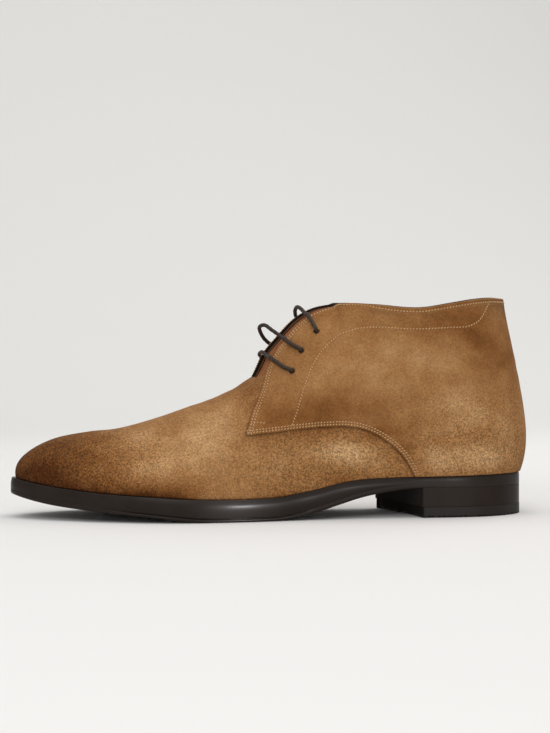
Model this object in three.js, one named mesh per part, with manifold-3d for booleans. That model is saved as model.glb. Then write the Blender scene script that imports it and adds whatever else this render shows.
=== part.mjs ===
import * as THREE from "three";
import Module from "manifold-3d";
import { mergeVertices } from "three/addons/utils/BufferGeometryUtils.js";

// Left chukka boot. Millimetres, +X toward the toe, +Y toward the outer side, +Z up.
// The origin is the middle of the heel's flat base on the floor.

// Lengths along the boot
const length = 310;
const heelReach = 33;
const throatStart = 130;
const tongueStart = 153;
// Widths
const ballWidth = 106;
const seatWidth = 67;
const throatWidth = 31;
// Heights
const heelHeight = 24.5;
const instepHeight = 127.5;
const shaftHeight = 130.3;
// Thicknesses and clearances
const wall = 1.8;
const quarterStep = 1.1;
const tongueThick = 2.2;
const insoleThick = 3;
const liftThick = 6.3;
const treadThick = 2.4;
const treadInset = 1.3;
const jointGap = 0.25;
const upperGap = 0.4;
const tongueGap = 0.5;
const insoleGap = 0.7;
// Laces and their holes
const laceWidth = 2.4;
const holeWidth = 4;
// Grid steps
const sideSteps = 34;
const riseSteps = 12;
const instepSteps = 10;
const tongueFold = 7;

const wasm = await Module();
wasm.setup();

// Outline and rib table, from the toe to the back of the heel.
// along: share of length. outer, inner: shares of half the ball width. ledge: share of the tread inset.
// crestAlong: share of length. crestHalf: share of half the seat width. crestRise: share of shaft height.
// footOut: share of half the seat width. footUp, topDrop: shares of the rib height.
// topOut: share of half the ball width.
const ribColumns = [
  "along", "outer", "inner", "ledge", "crestAlong", "crestHalf", "crestRise",
  "footOut", "footUp", "topOut", "topDrop"
];
const ribRows = [
  [1.00, 0.000, 0.000, 2.3, 0.890, 0.00, 0.374, 0.07, 0.50, 0.39, 0.00],
  [0.98, 0.236, 0.292, 2.3, 0.884, 0.00, 0.377, 0.07, 0.50, 0.40, 0.00],
  [0.94, 0.434, 0.519, 2.2, 0.868, 0.00, 0.383, 0.07, 0.52, 0.44, 0.00],
  [0.88, 0.651, 0.717, 2.1, 0.837, 0.00, 0.393, 0.06, 0.56, 0.50, 0.00],
  [0.80, 0.868, 0.877, 2.0, 0.786, 0.00, 0.407, 0.05, 0.58, 0.57, 0.00],
  [0.72, 1.000, 0.934, 2.0, 0.716, 0.00, 0.453, 0.06, 0.53, 0.57, 0.00],
  [0.66, 1.028, 0.887, 1.9, 0.659, 0.00, 0.499, 0.06, 0.49, 0.55, 0.00],
  [0.60, 1.000, 0.792, 1.7, 0.599, 0.00, 0.551, 0.06, 0.46, 0.52, 0.00],
  [0.55, 0.950, 0.720, 1.5, 0.549, 0.00, 0.619, 0.05, 0.44, 0.49, 0.00],
  [0.50, 0.887, 0.651, 1.3, 0.499, 0.00, 0.782, 0.04, 0.42, 0.45, 0.00],
  [0.45, 0.820, 0.605, 1.1, 0.446, 0.00, 0.930, 0.03, 0.40, 0.45, 0.00],
  [0.42, 0.788, 0.592, 0.9, 0.408, 0.00, 0.970, 0.03, 0.38, 0.50, 0.00],
  [0.40, 0.764, 0.585, 0.8, 0.378, 0.00, 0.984, 0.04, 0.37, 0.52, 0.02],
  [0.37, 0.730, 0.582, 0.7, 0.361, 0.32, 0.986, 0.05, 0.36, 0.32, 0.08],
  [0.34, 0.703, 0.585, 0.6, 0.337, 0.51, 0.988, 0.06, 0.35, 0.18, 0.17],
  [0.30, 0.679, 0.594, 0.5, 0.300, 0.67, 0.984, 0.07, 0.34, 0.08, 0.28],
  [0.20, 0.642, 0.623, 0.4, 0.206, 0.88, 0.969, 0.10, 0.32, 0.03, 0.32],
  [0.15, 0.623, 0.613, 0.4, 0.155, 0.90, 0.985, 0.12, 0.30, 0.02, 0.33],
  [0.10, 0.575, 0.566, 0.4, 0.111, 0.82, 1.000, 0.16, 0.28, 0.02, 0.33],
  [0.05, 0.443, 0.443, 0.4, 0.070, 0.58, 1.007, 0.22, 0.26, 0.05, 0.33],
  [0.02, 0.283, 0.283, 0.4, 0.048, 0.35, 1.004, 0.28, 0.25, 0.09, 0.33],
  [0.00, 0.000, 0.000, 0.4, 0.038, 0.00, 1.000, 0.31, 0.24, 0.10, 0.33]
];

// Upper and lower edge of the outsole's side. along: share of length. top, bottom: shares of heel height.
const soleColumns = ["along", "top", "bottom"];
const soleRows = [
  [0.000, 1.004, 0.735], [0.080, 1.000, 0.735], [0.160, 0.998, 0.735], [0.216, 0.996, 0.735],
  [0.277, 0.984, 0.650], [0.335, 0.943, 0.502], [0.374, 0.869, 0.355], [0.413, 0.747, 0.208],
  [0.452, 0.653, 0.090], [0.490, 0.571, 0.020], [0.529, 0.545, 0.000], [0.606, 0.537, 0.000],
  [0.645, 0.551, 0.012], [0.681, 0.571, 0.049], [0.719, 0.604, 0.102], [0.794, 0.653, 0.192],
  [0.868, 0.727, 0.286], [0.942, 0.845, 0.412], [0.977, 0.925, 0.510], [1.000, 0.985, 0.590]
];

// Side view of the quarter's front seam and facing. along: share of length. rise: share of shaft height.
const quarterRows = [
  [0.228, 0.150], [0.229, 0.190], [0.237, 0.236], [0.251, 0.287], [0.273, 0.338], [0.296, 0.374],
  [0.325, 0.407], [0.354, 0.420], [0.393, 0.421], [0.450, 0.411], [0.507, 0.395], [0.544, 0.380],
  [0.553, 0.385], [0.543, 0.460], [0.530, 0.527], [0.517, 0.595], [0.506, 0.672], [0.496, 0.715],
  [0.488, 0.770], [0.470, 0.900], [0.460, 1.090], [-0.100, 1.090], [-0.100, 0.100], [0.228, 0.100]
];

// Plan of the throat. along: share of length. half: share of half the throat width.
const throatRows = [
  [0.300, 0.80], [0.361, 0.70], [0.390, 0.68], [0.420, 0.74], [0.446, 0.84], [0.465, 0.94],
  [0.480, 0.99], [0.497, 1.00], [0.510, 0.88], [0.519, 0.60], [0.524, 0.30]
];

// Lace bars. along, rise: the eyelet's place. crossing: where the bar meets the ridge. lift: shares of lace width.
const laceRows = [
  { name: "lace_bar_lower", along: 0.4616, rise: 0.6705, crossing: 0.508, lift: 1.5 },
  { name: "lace_bar_middle", along: 0.4423, rise: 0.7635, crossing: 0.492, lift: 4.2 },
  { name: "lace_bar_upper", along: 0.4119, rise: 0.8510, crossing: 0.438, lift: 1.9 }
];

// Smooth value through knots that are unevenly spaced
function smooth(knots, values, at) {
  const last = knots.length - 1;
  let k = 0;
  while (k < last - 1 && at > knots[k + 1]) {
    k += 1;
  }
  const slope = (i) => (values[i + 1] - values[i]) / (knots[i + 1] - knots[i]);
  const tangent = (i) => {
    if (i <= 0) {
      return slope(0);
    }
    if (i >= last) {
      return slope(last - 1);
    }
    const before = knots[i] - knots[i - 1];
    const after = knots[i + 1] - knots[i];
    return (slope(i - 1) * after + slope(i) * before) / (before + after);
  };
  const span = knots[k + 1] - knots[k];
  const t = Math.min(1, Math.max(0, (at - knots[k]) / span));
  const rise = values[k + 1] - values[k];
  const a = tangent(k) * span - rise;
  const b = -tangent(k + 1) * span + rise;
  return values[k] + rise * t + t * (1 - t) * ((1 - t) * a + t * b);
}

// Rib values once round the boot: 0 at the toe, 1 at the heel, 2 at the toe again
const column = (name) => ribColumns.indexOf(name);
const turnOf = (along) => Math.acos(Math.min(1, Math.max(-1, 2 * along - 1))) / Math.PI;
const tracks = {};
for (const name of [...ribColumns, "side", "crestSide"]) {
  const knots = [];
  const values = [];
  for (const part of [-1, 0, 1, 2]) {
    const rows = part % 2 === 0 ? ribRows : [...ribRows].reverse();
    for (const row of rows) {
      const own = turnOf(row[0]);
      const at = part % 2 === 0 ? part + own : part + 1 - own;
      if (knots.length > 0 && Math.abs(at - knots[knots.length - 1]) < 1e-6) {
        continue;
      }
      const outerSide = part === 0 || part === 2;
      const sign = outerSide ? 1 : -1;
      let value = row[column(name)];
      if (name === "side") {
        value = sign * row[column(outerSide ? "outer" : "inner")];
      }
      if (name === "crestSide") {
        value = sign * row[column("crestHalf")];
      }
      knots.push(at);
      values.push(value);
    }
  }
  tracks[name] = { knots, values };
}

function track(name, turn) {
  return smooth(tracks[name].knots, tracks[name].values, turn);
}

// Half width of the crest: nothing on the ridge, open along the collar
function crestSide(turn) {
  const value = track("crestSide", turn);
  return turn < 1 && turn > 0 ? Math.max(0, value) : Math.min(0, value);
}

function soleLevel(name, x) {
  const knots = soleRows.map((row) => row[0]);
  const values = soleRows.map((row) => row[soleColumns.indexOf(name)]);
  const along = Math.min(1, Math.max(0, (x + heelReach) / length));
  return heelHeight * Math.max(0, smooth(knots, values, along));
}

function outline(turn, inset = 0) {
  const at = (t) => [
    length * (1 + Math.cos(Math.PI * t)) / 2 - heelReach,
    track("side", t) * ballWidth / 2
  ];
  const step = 0.004;
  const [x, y] = at(turn);
  const [xa, ya] = at(turn - step);
  const [xb, yb] = at(turn + step);
  const size = Math.hypot(xb - xa, yb - ya);
  const nx = (yb - ya) / size;
  const ny = -(xb - xa) / size;
  return { x: x - nx * inset, y: y - ny * inset, nx, ny };
}

// Crest line: the ridge from the toe to the collar, then the collar's edge
function crestPoint(turn) {
  return [
    track("crestAlong", turn) * length - heelReach,
    crestSide(turn) * seatWidth / 2,
    track("crestRise", turn) * shaftHeight
  ];
}

function onRidge(turn) {
  return Math.abs(crestSide(turn)) < 1e-6 && Math.abs(turn - 1) > 0.05;
}

// Fall of the ridge toward the toe, in x and z
function ridgeRun(turn) {
  const own = turn > 1 ? 2 - turn : Math.abs(turn);
  const front = crestPoint(Math.max(0, own - 0.02));
  const back = crestPoint(own + 0.02);
  return [front[0] - back[0], front[2] - back[2]];
}

function ridgeNormal(turn) {
  const [dx, dz] = ridgeRun(turn);
  return new THREE.Vector3(-dz, 0, dx).normalize();
}

// The last's shape: a rib rises from the outline at each turn, v from 0 at the sole to 1 at the crest
function rib(turn) {
  const foot = outline(turn, track("ledge", turn) * treadInset);
  const start = [foot.x, foot.y, soleLevel("top", foot.x) + upperGap];
  const crest = crestPoint(turn);
  const height = crest[2] - start[2];
  const out = track("footOut", turn) * seatWidth / 2;
  const top = track("topOut", turn) * ballWidth / 2;
  const [dx, dz] = ridgeRun(turn);
  const slope = onRidge(turn) ? dz / dx : 0;
  const low = [start[0] + foot.nx * out, start[1] + foot.ny * out, start[2] + track("footUp", turn) * height];
  const high = [
    crest[0] + foot.nx * top,
    crest[1] + foot.ny * top,
    crest[2] + slope * foot.nx * top - track("topDrop", turn) * height
  ];
  return [start, low, high, crest];
}

function pointOn(turn, v) {
  const points = rib(turn);
  const w = 1 - v;
  const weights = [w * w * w, 3 * w * w * v, 3 * w * v * v, v * v * v];
  return [0, 1, 2].map((axis) => points.reduce((sum, p, i) => sum + p[axis] * weights[i], 0));
}

// A point moved outward from the last's surface along its normal
function skin(turn, v, away) {
  const base = pointOn(turn, v);
  const at = Math.min(0.97, Math.max(0.02, v));
  const e = 0.006;
  const a = new THREE.Vector3(...pointOn(turn + e, at)).sub(new THREE.Vector3(...pointOn(turn - e, at)));
  const b = new THREE.Vector3(...pointOn(turn, at + e)).sub(new THREE.Vector3(...pointOn(turn, at - e)));
  const ridge = v > 0.999 && onRidge(turn);
  const normal = ridge ? ridgeNormal(turn) : a.cross(b).normalize();
  if (Math.abs(turn - Math.round(turn)) < 1e-6) {
    normal.y = 0;
    normal.normalize();
  }
  if (v < 0.001) {
    normal.z = 0;
    normal.normalize();
  }
  return [base[0] + normal.x * away, base[1] + normal.y * away, base[2] + normal.z * away];
}

// Finds the turn and rise whose point lies at a given place in side view
function locate(x, z, inner) {
  let turn = turnOf((x + heelReach) / length);
  let v = 0.6;
  for (let i = 0; i < 40; i += 1) {
    const p = pointOn(turn, v);
    const q = pointOn(turn + 1e-4, v);
    const r = pointOn(turn, v + 1e-4);
    const a = (q[0] - p[0]) / 1e-4;
    const b = (r[0] - p[0]) / 1e-4;
    const c = (q[2] - p[2]) / 1e-4;
    const d = (r[2] - p[2]) / 1e-4;
    const det = a * d - b * c;
    const ex = x - p[0];
    const ez = z - p[2];
    turn += 0.7 * (d * ex - b * ez) / det;
    v = Math.min(0.98, Math.max(0.05, v + 0.7 * (a * ez - c * ex) / det));
  }
  return { turn: inner ? 2 - turn : turn, v };
}

// Closed solids
function solid(points, faces) {
  const geometry = new THREE.BufferGeometry();
  geometry.setAttribute("position", new THREE.Float32BufferAttribute(points.flat(), 3));
  geometry.setIndex(faces.flat());
  const merged = mergeVertices(geometry, 1e-3);
  const position = merged.attributes.position;
  const index = [];
  let volume = 0;
  for (let i = 0; i < merged.index.count; i += 3) {
    const [a, b, c] = [0, 1, 2].map((k) => merged.index.getX(i + k));
    if (a === b || b === c || a === c) {
      continue;
    }
    index.push(a, b, c);
    const [p, q, r] = [a, b, c].map((k) => new THREE.Vector3().fromBufferAttribute(position, k));
    volume += p.dot(q.cross(r));
  }
  const triangles = [];
  for (let i = 0; i < index.length; i += 3) {
    triangles.push(index[i], index[i + (volume > 0 ? 1 : 2)], index[i + (volume > 0 ? 2 : 1)]);
  }
  return new wasm.Manifold(new wasm.Mesh({
    numProp: 3,
    vertProperties: new Float32Array(position.array),
    triVerts: new Uint32Array(triangles)
  }));
}

// Joins closed loops of equal count one after the other, and closes the first and last across the boot
function ringSolid(rings) {
  const count = rings[0].length;
  const points = rings.flat();
  const faces = [];
  for (let r = 0; r + 1 < rings.length; r += 1) {
    for (let k = 0; k < count; k += 1) {
      const a = r * count + k;
      const b = r * count + (k + 1) % count;
      faces.push([a, b, b + count], [a, b + count, a + count]);
    }
  }
  for (const [start, flip] of [[0, true], [(rings.length - 1) * count, false]]) {
    let i = 0;
    let j = count - 1;
    while (j - i > 1) {
      faces.push(flip ? [start + i, start + j, start + i + 1] : [start + i, start + i + 1, start + j]);
      i += 1;
      if (j - i > 1) {
        faces.push(flip ? [start + i, start + j, start + j - 1] : [start + i, start + j - 1, start + j]);
        j -= 1;
      }
    }
  }
  return solid(points, faces);
}

// Turns from the toe round the heel to the toe again
function loopTurns(steps, from = 0) {
  const turns = [];
  for (let k = 0; k <= steps; k += 1) {
    turns.push(from + (1 - from) * k / steps);
  }
  const back = turns.slice(from === 0 ? 1 : 0, -1).reverse().map((t) => 2 - t);
  return [...turns, ...back];
}

// Ribs of the upper: evenly spaced, closer over the instep where the tongue lies
const instepTurns = [];
const instepEnds = [turnOf((tongueStart + heelReach) / length), turnOf(0.4)];
for (let k = 0; k <= instepSteps; k += 1) {
  instepTurns.push(instepEnds[0] + (instepEnds[1] - instepEnds[0]) * k / instepSteps);
}
function upperTurns() {
  const even = loopTurns(sideSteps).filter((t) => t <= 1);
  const margin = 0.3 / sideSteps;
  const kept = even.filter((t) => t < instepEnds[0] - margin || t > instepEnds[1] + margin);
  const side = [...kept, ...instepTurns].sort((a, b) => a - b);
  return [...side, ...side.slice(1, -1).reverse().map((t) => 2 - t)];
}

// Upper: an outer and an inner skin over the same ribs, joined at their rims
function shell(turns, rises, outerAway, innerAway) {
  const rows = rises.length;
  const points = [];
  const faces = [];
  for (const away of [outerAway, innerAway]) {
    for (const turn of turns) {
      for (const v of rises) {
        points.push(skin(turn, v, away));
      }
    }
  }
  const count = turns.length;
  const at = (layer, k, r) => layer * count * rows + (k % count) * rows + r;
  for (let k = 0; k < count; k += 1) {
    for (let r = 0; r + 1 < rows; r += 1) {
      faces.push([at(0, k, r), at(0, k + 1, r), at(0, k + 1, r + 1)]);
      faces.push([at(0, k, r), at(0, k + 1, r + 1), at(0, k, r + 1)]);
      faces.push([at(1, k, r), at(1, k + 1, r + 1), at(1, k + 1, r)]);
      faces.push([at(1, k, r), at(1, k, r + 1), at(1, k + 1, r + 1)]);
    }
    faces.push([at(0, k, 0), at(1, k, 0), at(1, k + 1, 0)], [at(0, k, 0), at(1, k + 1, 0), at(0, k + 1, 0)]);
    const next = turns[(k + 1) % count];
    if (!onRidge(turns[k]) || !onRidge(next)) {
      const top = rows - 1;
      faces.push([at(0, k, top), at(1, k + 1, top), at(1, k, top)]);
      faces.push([at(0, k, top), at(0, k + 1, top), at(1, k + 1, top)]);
    }
  }
  return solid(points, faces);
}

function fullShell(outerAway, innerAway) {
  const rises = Array.from({ length: riseSteps + 1 }, (unused, r) => r / riseSteps);
  return shell(upperTurns(), rises, outerAway, innerAway);
}

// Straight prism over a closed outline given as pairs, with a function that places each pair
function prism(pairs, place, from, to) {
  const flat = pairs.map((p) => new THREE.Vector2(p[0], p[1]));
  const triangles = THREE.ShapeUtils.triangulateShape(flat, []);
  const count = pairs.length;
  const points = [...pairs.map((p) => place(p, from)), ...pairs.map((p) => place(p, to))];
  const faces = [];
  for (const [a, b, c] of triangles) {
    faces.push([a, c, b], [a + count, b + count, c + count]);
  }
  const area = THREE.ShapeUtils.area(flat);
  for (let k = 0; k < count; k += 1) {
    const n = (k + 1) % count;
    const quad = [[k, n, n + count], [k, n + count, k + count]];
    faces.push(...(area > 0 ? quad : quad.map(([a, b, c]) => [a, c, b])));
  }
  return solid(points, faces);
}

function cylinder(centre, direction, radius, reach) {
  const geometry = new THREE.CylinderGeometry(radius, radius, reach * 2, 12);
  const turn = new THREE.Quaternion().setFromUnitVectors(new THREE.Vector3(0, 1, 0), direction);
  geometry.applyQuaternion(turn);
  geometry.translate(...centre);
  geometry.deleteAttribute("normal");
  geometry.deleteAttribute("uv");
  const position = geometry.attributes.position;
  const points = Array.from({ length: position.count }, (unused, i) => [0, 1, 2].map((k) => position.array[i * 3 + k]));
  const faces = [];
  for (let i = 0; i < geometry.index.count; i += 3) {
    faces.push([0, 1, 2].map((k) => geometry.index.getX(i + k)));
  }
  return solid(points, faces);
}

// Upper
const toX = (along) => along * length - heelReach;
const sideView = quarterRows.map(([along, rise]) => [toX(along), rise * shaftHeight]);
const quarterZone = prism(sideView, (p, y) => [p[0], y, p[1]], -ballWidth, ballWidth);
const throatOuter = throatRows.map(([along, half]) => [toX(along), half * throatWidth / 2]);
const throatInner = [...throatOuter].reverse().map(([x, y]) => [x, -y]);
const throatPlan = [...throatOuter, [throatStart, 0], ...throatInner];
const throatZone = prism(throatPlan, (p, z) => [p[0], p[1], z], heelHeight * 2.4, shaftHeight * 1.2);

const eyelets = [];
for (const row of laceRows) {
  for (const inner of [false, true]) {
    const spot = locate(toX(row.along), row.rise * shaftHeight, inner);
    const low = new THREE.Vector3(...skin(spot.turn, spot.v, 0));
    const high = new THREE.Vector3(...skin(spot.turn, spot.v, 1));
    eyelets.push({ row, inner, spot, centre: low.toArray(), normal: high.sub(low).normalize() });
  }
}

let upperBody = fullShell(0, -wall);
const quarterLayer = fullShell(quarterStep, -wall / 3).intersect(quarterZone);
upperBody = upperBody.add(quarterLayer).subtract(throatZone);
for (const eyelet of eyelets) {
  upperBody = upperBody.subtract(cylinder(eyelet.centre, eyelet.normal, holeWidth / 2, wall * 4));
}
upperBody = upperBody.simplify(0.02);

// Tongue, between the ribs that end on the ridge, nested under the upper
function tongueGrid(away) {
  return instepTurns.map((turn) => {
    const line = [];
    for (let r = tongueFold; r <= riseSteps; r += 1) {
      line.push(skin(turn, r / riseSteps, away));
    }
    for (let r = riseSteps - 1; r >= tongueFold; r -= 1) {
      line.push(skin(2 - turn, r / riseSteps, away));
    }
    return line;
  });
}

// A closed slab between two grids of the same size
function slab(outer, inner) {
  const rows = outer.length;
  const columns = outer[0].length;
  const points = [...outer.flat(), ...inner.flat()];
  const shift = rows * columns;
  const faces = [];
  const quad = (a, b, c, d) => faces.push([a, b, c], [a, c, d]);
  for (let i = 0; i + 1 < rows; i += 1) {
    for (let j = 0; j + 1 < columns; j += 1) {
      const a = i * columns + j;
      quad(a, a + 1, a + columns + 1, a + columns);
      quad(a + shift, a + shift + columns, a + shift + columns + 1, a + shift + 1);
    }
  }
  for (let j = 0; j + 1 < columns; j += 1) {
    quad(j, j + shift, j + 1 + shift, j + 1);
    const a = (rows - 1) * columns + j;
    quad(a, a + 1, a + 1 + shift, a + shift);
  }
  for (let i = 0; i + 1 < rows; i += 1) {
    const a = i * columns;
    quad(a, a + columns, a + columns + shift, a + shift);
    const b = a + columns - 1;
    quad(b, b + shift, b + columns + shift, b + columns);
  }
  return solid(points, faces);
}
const tongueOut = -wall - tongueGap;
const tongueBody = slab(tongueGrid(tongueOut), tongueGrid(tongueOut - tongueThick));

// Outsole: a side wall, a fine step and an inset tread layer under the forefoot
function treadShare(x) {
  const along = (x + heelReach) / length;
  return THREE.MathUtils.smoothstep(along, 0.42, 0.5) * (1 - THREE.MathUtils.smoothstep(along, 0.74, 0.86));
}
const soleTurns = loopTurns(sideSteps + 6);
function soleRing(insetOf, levelOf) {
  return soleTurns.map((turn) => {
    const edge = outline(turn);
    const share = treadShare(edge.x);
    const moved = outline(turn, insetOf(share));
    const top = soleLevel("top", moved.x);
    const bottom = soleLevel("bottom", moved.x);
    return [moved.x, moved.y, levelOf(top, bottom, share)];
  });
}
const outsoleBody = ringSolid([
  soleRing(() => 0.8, (top) => top),
  soleRing(() => 0, (top) => top - 0.8),
  soleRing(() => 0, (top, bottom) => bottom + treadThick + 0.2),
  soleRing((share) => treadInset * share + 0.05, (top, bottom) => bottom + treadThick - 0.2),
  soleRing((share) => treadInset * share + 0.1, (top, bottom) => bottom + 0.5),
  soleRing((share) => treadInset * share + 0.6, (top, bottom) => bottom)
]);

// Heel: a block and a top lift behind a slanted, slightly hollow breast
const breastOuter = 33;
const breastInner = 52;
const breastHollow = 2.5;
function breastLine(shift) {
  const pairs = [];
  for (let k = 0; k <= 8; k += 1) {
    const share = k / 8;
    const y = seatWidth * (0.62 - 1.24 * share);
    const slant = (seatWidth / 2 - y) / seatWidth;
    const hollow = breastHollow * 4 * slant * (1 - slant);
    pairs.push([breastOuter + (breastInner - breastOuter) * slant - hollow + shift, y]);
  }
  return [...pairs, [length, -seatWidth], [length, seatWidth]];
}
const heelTurns = loopTurns(18, turnOf(0.31));
function heelBlock(levelLow, levelHigh, grow, cut) {
  const ring = (inset, level) => heelTurns.map((turn) => {
    const p = outline(turn, inset);
    return [p.x, p.y, level(p.x)];
  });
  const body = ringSolid([
    ring(0.4 - grow, levelHigh),
    ring(-grow, (x) => levelHigh(x) - 0.4),
    ring(-grow, (x) => levelLow(x) + 0.4),
    ring(0.4 - grow, levelLow)
  ]);
  return body.subtract(prism(breastLine(cut), (p, z) => [p[0], p[1], z], -10, heelHeight * 2));
}
const heelBody = heelBlock(() => liftThick + jointGap, (x) => soleLevel("bottom", x) - jointGap, 0, 0);
const notch = prism(
  [[breastInner - 7, -seatWidth], [breastInner + 9, -seatWidth], [breastInner + 9, -seatWidth * 0.28]],
  (p, z) => [p[0], p[1], z], -10, liftThick * 0.76
);
const liftBody = heelBlock(() => 0, () => liftThick, 0.3, -0.8).subtract(notch);

// Insole, inside the upper on the outsole
function insoleRing(inset, level) {
  return soleTurns.map((turn) => {
    const p = outline(turn, track("ledge", turn) * treadInset + wall + insoleGap + inset);
    return [p.x, p.y, soleLevel("top", p.x) + level];
  });
}
const insoleBody = ringSolid([
  insoleRing(0.5, jointGap + insoleThick),
  insoleRing(0, jointGap + insoleThick - 0.5),
  insoleRing(0, jointGap)
]);

// Lace bars, from eyelet to eyelet over the throat
function laceBar(row) {
  const [outer, inner] = eyelets.filter((eyelet) => eyelet.row === row);
  const path = [];
  const inside = -wall * 0.8;
  path.push(skin(outer.spot.turn, outer.spot.v, inside));
  const cross = turnOf(row.crossing);
  const steps = 7;
  const half = (spot, mirrored) => {
    const list = [];
    for (let k = 0; k <= steps; k += 1) {
      const share = k / steps;
      const turn = (mirrored ? 2 - spot.turn : spot.turn) * (1 - share) + cross * share;
      const v = spot.v + (1 - spot.v) * share;
      const near = quarterStep + laceWidth / 2 + 0.45;
      const lift = near + (row.lift * laceWidth - near) * Math.sin(share * Math.PI / 2) ** 1.5;
      list.push(skin(mirrored ? 2 - turn : turn, v, lift));
    }
    return list;
  };
  path.push(...half(outer.spot, false), ...half(inner.spot, true).reverse().slice(1));
  path.push(skin(inner.spot.turn, inner.spot.v, inside));
  const curve = new THREE.CatmullRomCurve3(path.map((p) => new THREE.Vector3(...p)), false, "centripetal");
  const sections = 30;
  const around = 8;
  const frames = curve.computeFrenetFrames(sections, false);
  const rings = [];
  for (let i = 0; i <= sections; i += 1) {
    const centre = curve.getPointAt(i / sections);
    const ring = [];
    for (let k = 0; k < around; k += 1) {
      const angle = 2 * Math.PI * k / around;
      const offset = frames.normals[i].clone().multiplyScalar(Math.cos(angle) * laceWidth / 2);
      offset.add(frames.binormals[i].clone().multiplyScalar(Math.sin(angle) * laceWidth / 2));
      ring.push(centre.clone().add(offset).toArray());
    }
    rings.push(ring);
  }
  return ringSolid(rings);
}

// Nodes
const group = new THREE.Group();
group.name = "chukka_boot";
function addNode(name, body, color, roughness) {
  const mesh = body.getMesh();
  const geometry = new THREE.BufferGeometry();
  const count = mesh.vertProperties.length / mesh.numProp;
  const positions = new Float32Array(count * 3);
  for (let i = 0; i < count; i += 1) {
    for (let k = 0; k < 3; k += 1) {
      positions[i * 3 + k] = mesh.vertProperties[i * mesh.numProp + k];
    }
  }
  geometry.setAttribute("position", new THREE.BufferAttribute(positions, 3));
  geometry.setIndex(new THREE.BufferAttribute(new Uint32Array(mesh.triVerts), 1));
  const material = new THREE.MeshStandardMaterial({ color, roughness, metalness: 0 });
  const node = new THREE.Mesh(geometry, material);
  node.name = name;
  group.add(node);
}
addNode("outsole", outsoleBody, 0x2a2320, 0.55);
addNode("heel_block", heelBody, 0x2a2320, 0.55);
addNode("top_lift", liftBody, 0x211c1a, 0.6);
addNode("insole", insoleBody, 0x4a3628, 0.8);
addNode("upper", upperBody, 0x9a6a3c, 0.95);
addNode("tongue", tongueBody, 0x7a4a2a, 0.95);
for (const row of laceRows) {
  addNode(row.name, laceBar(row), 0x3a251a, 0.6);
}

export default group;
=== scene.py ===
import math
import numpy as np
import bmesh
import bpy
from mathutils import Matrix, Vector, bvhtree, kdtree


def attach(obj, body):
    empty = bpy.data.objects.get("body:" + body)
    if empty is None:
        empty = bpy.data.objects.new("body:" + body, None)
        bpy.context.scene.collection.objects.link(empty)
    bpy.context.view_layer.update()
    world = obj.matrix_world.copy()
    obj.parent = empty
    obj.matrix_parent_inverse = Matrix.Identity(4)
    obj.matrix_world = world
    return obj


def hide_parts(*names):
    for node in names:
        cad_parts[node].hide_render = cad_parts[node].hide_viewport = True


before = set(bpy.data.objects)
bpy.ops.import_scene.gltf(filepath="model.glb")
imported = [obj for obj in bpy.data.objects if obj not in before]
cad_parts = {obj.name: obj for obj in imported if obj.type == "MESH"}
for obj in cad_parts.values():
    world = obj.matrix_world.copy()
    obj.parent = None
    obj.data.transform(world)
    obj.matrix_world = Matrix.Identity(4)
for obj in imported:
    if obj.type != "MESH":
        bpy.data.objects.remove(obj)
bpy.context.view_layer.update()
print("frame loaded")

# The last, in millimetres: +X to the toe, +Y to the outer side

lastSizes = {
    "length": 310.0,
    "heelReach": 33.0,
    "ballWidth": 106.0,
    "seatWidth": 67.0,
    "heelHeight": 24.5,
    "shaftHeight": 130.3,
    "featherStep": 1.3,
    "upperGap": 0.1,
}

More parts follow.
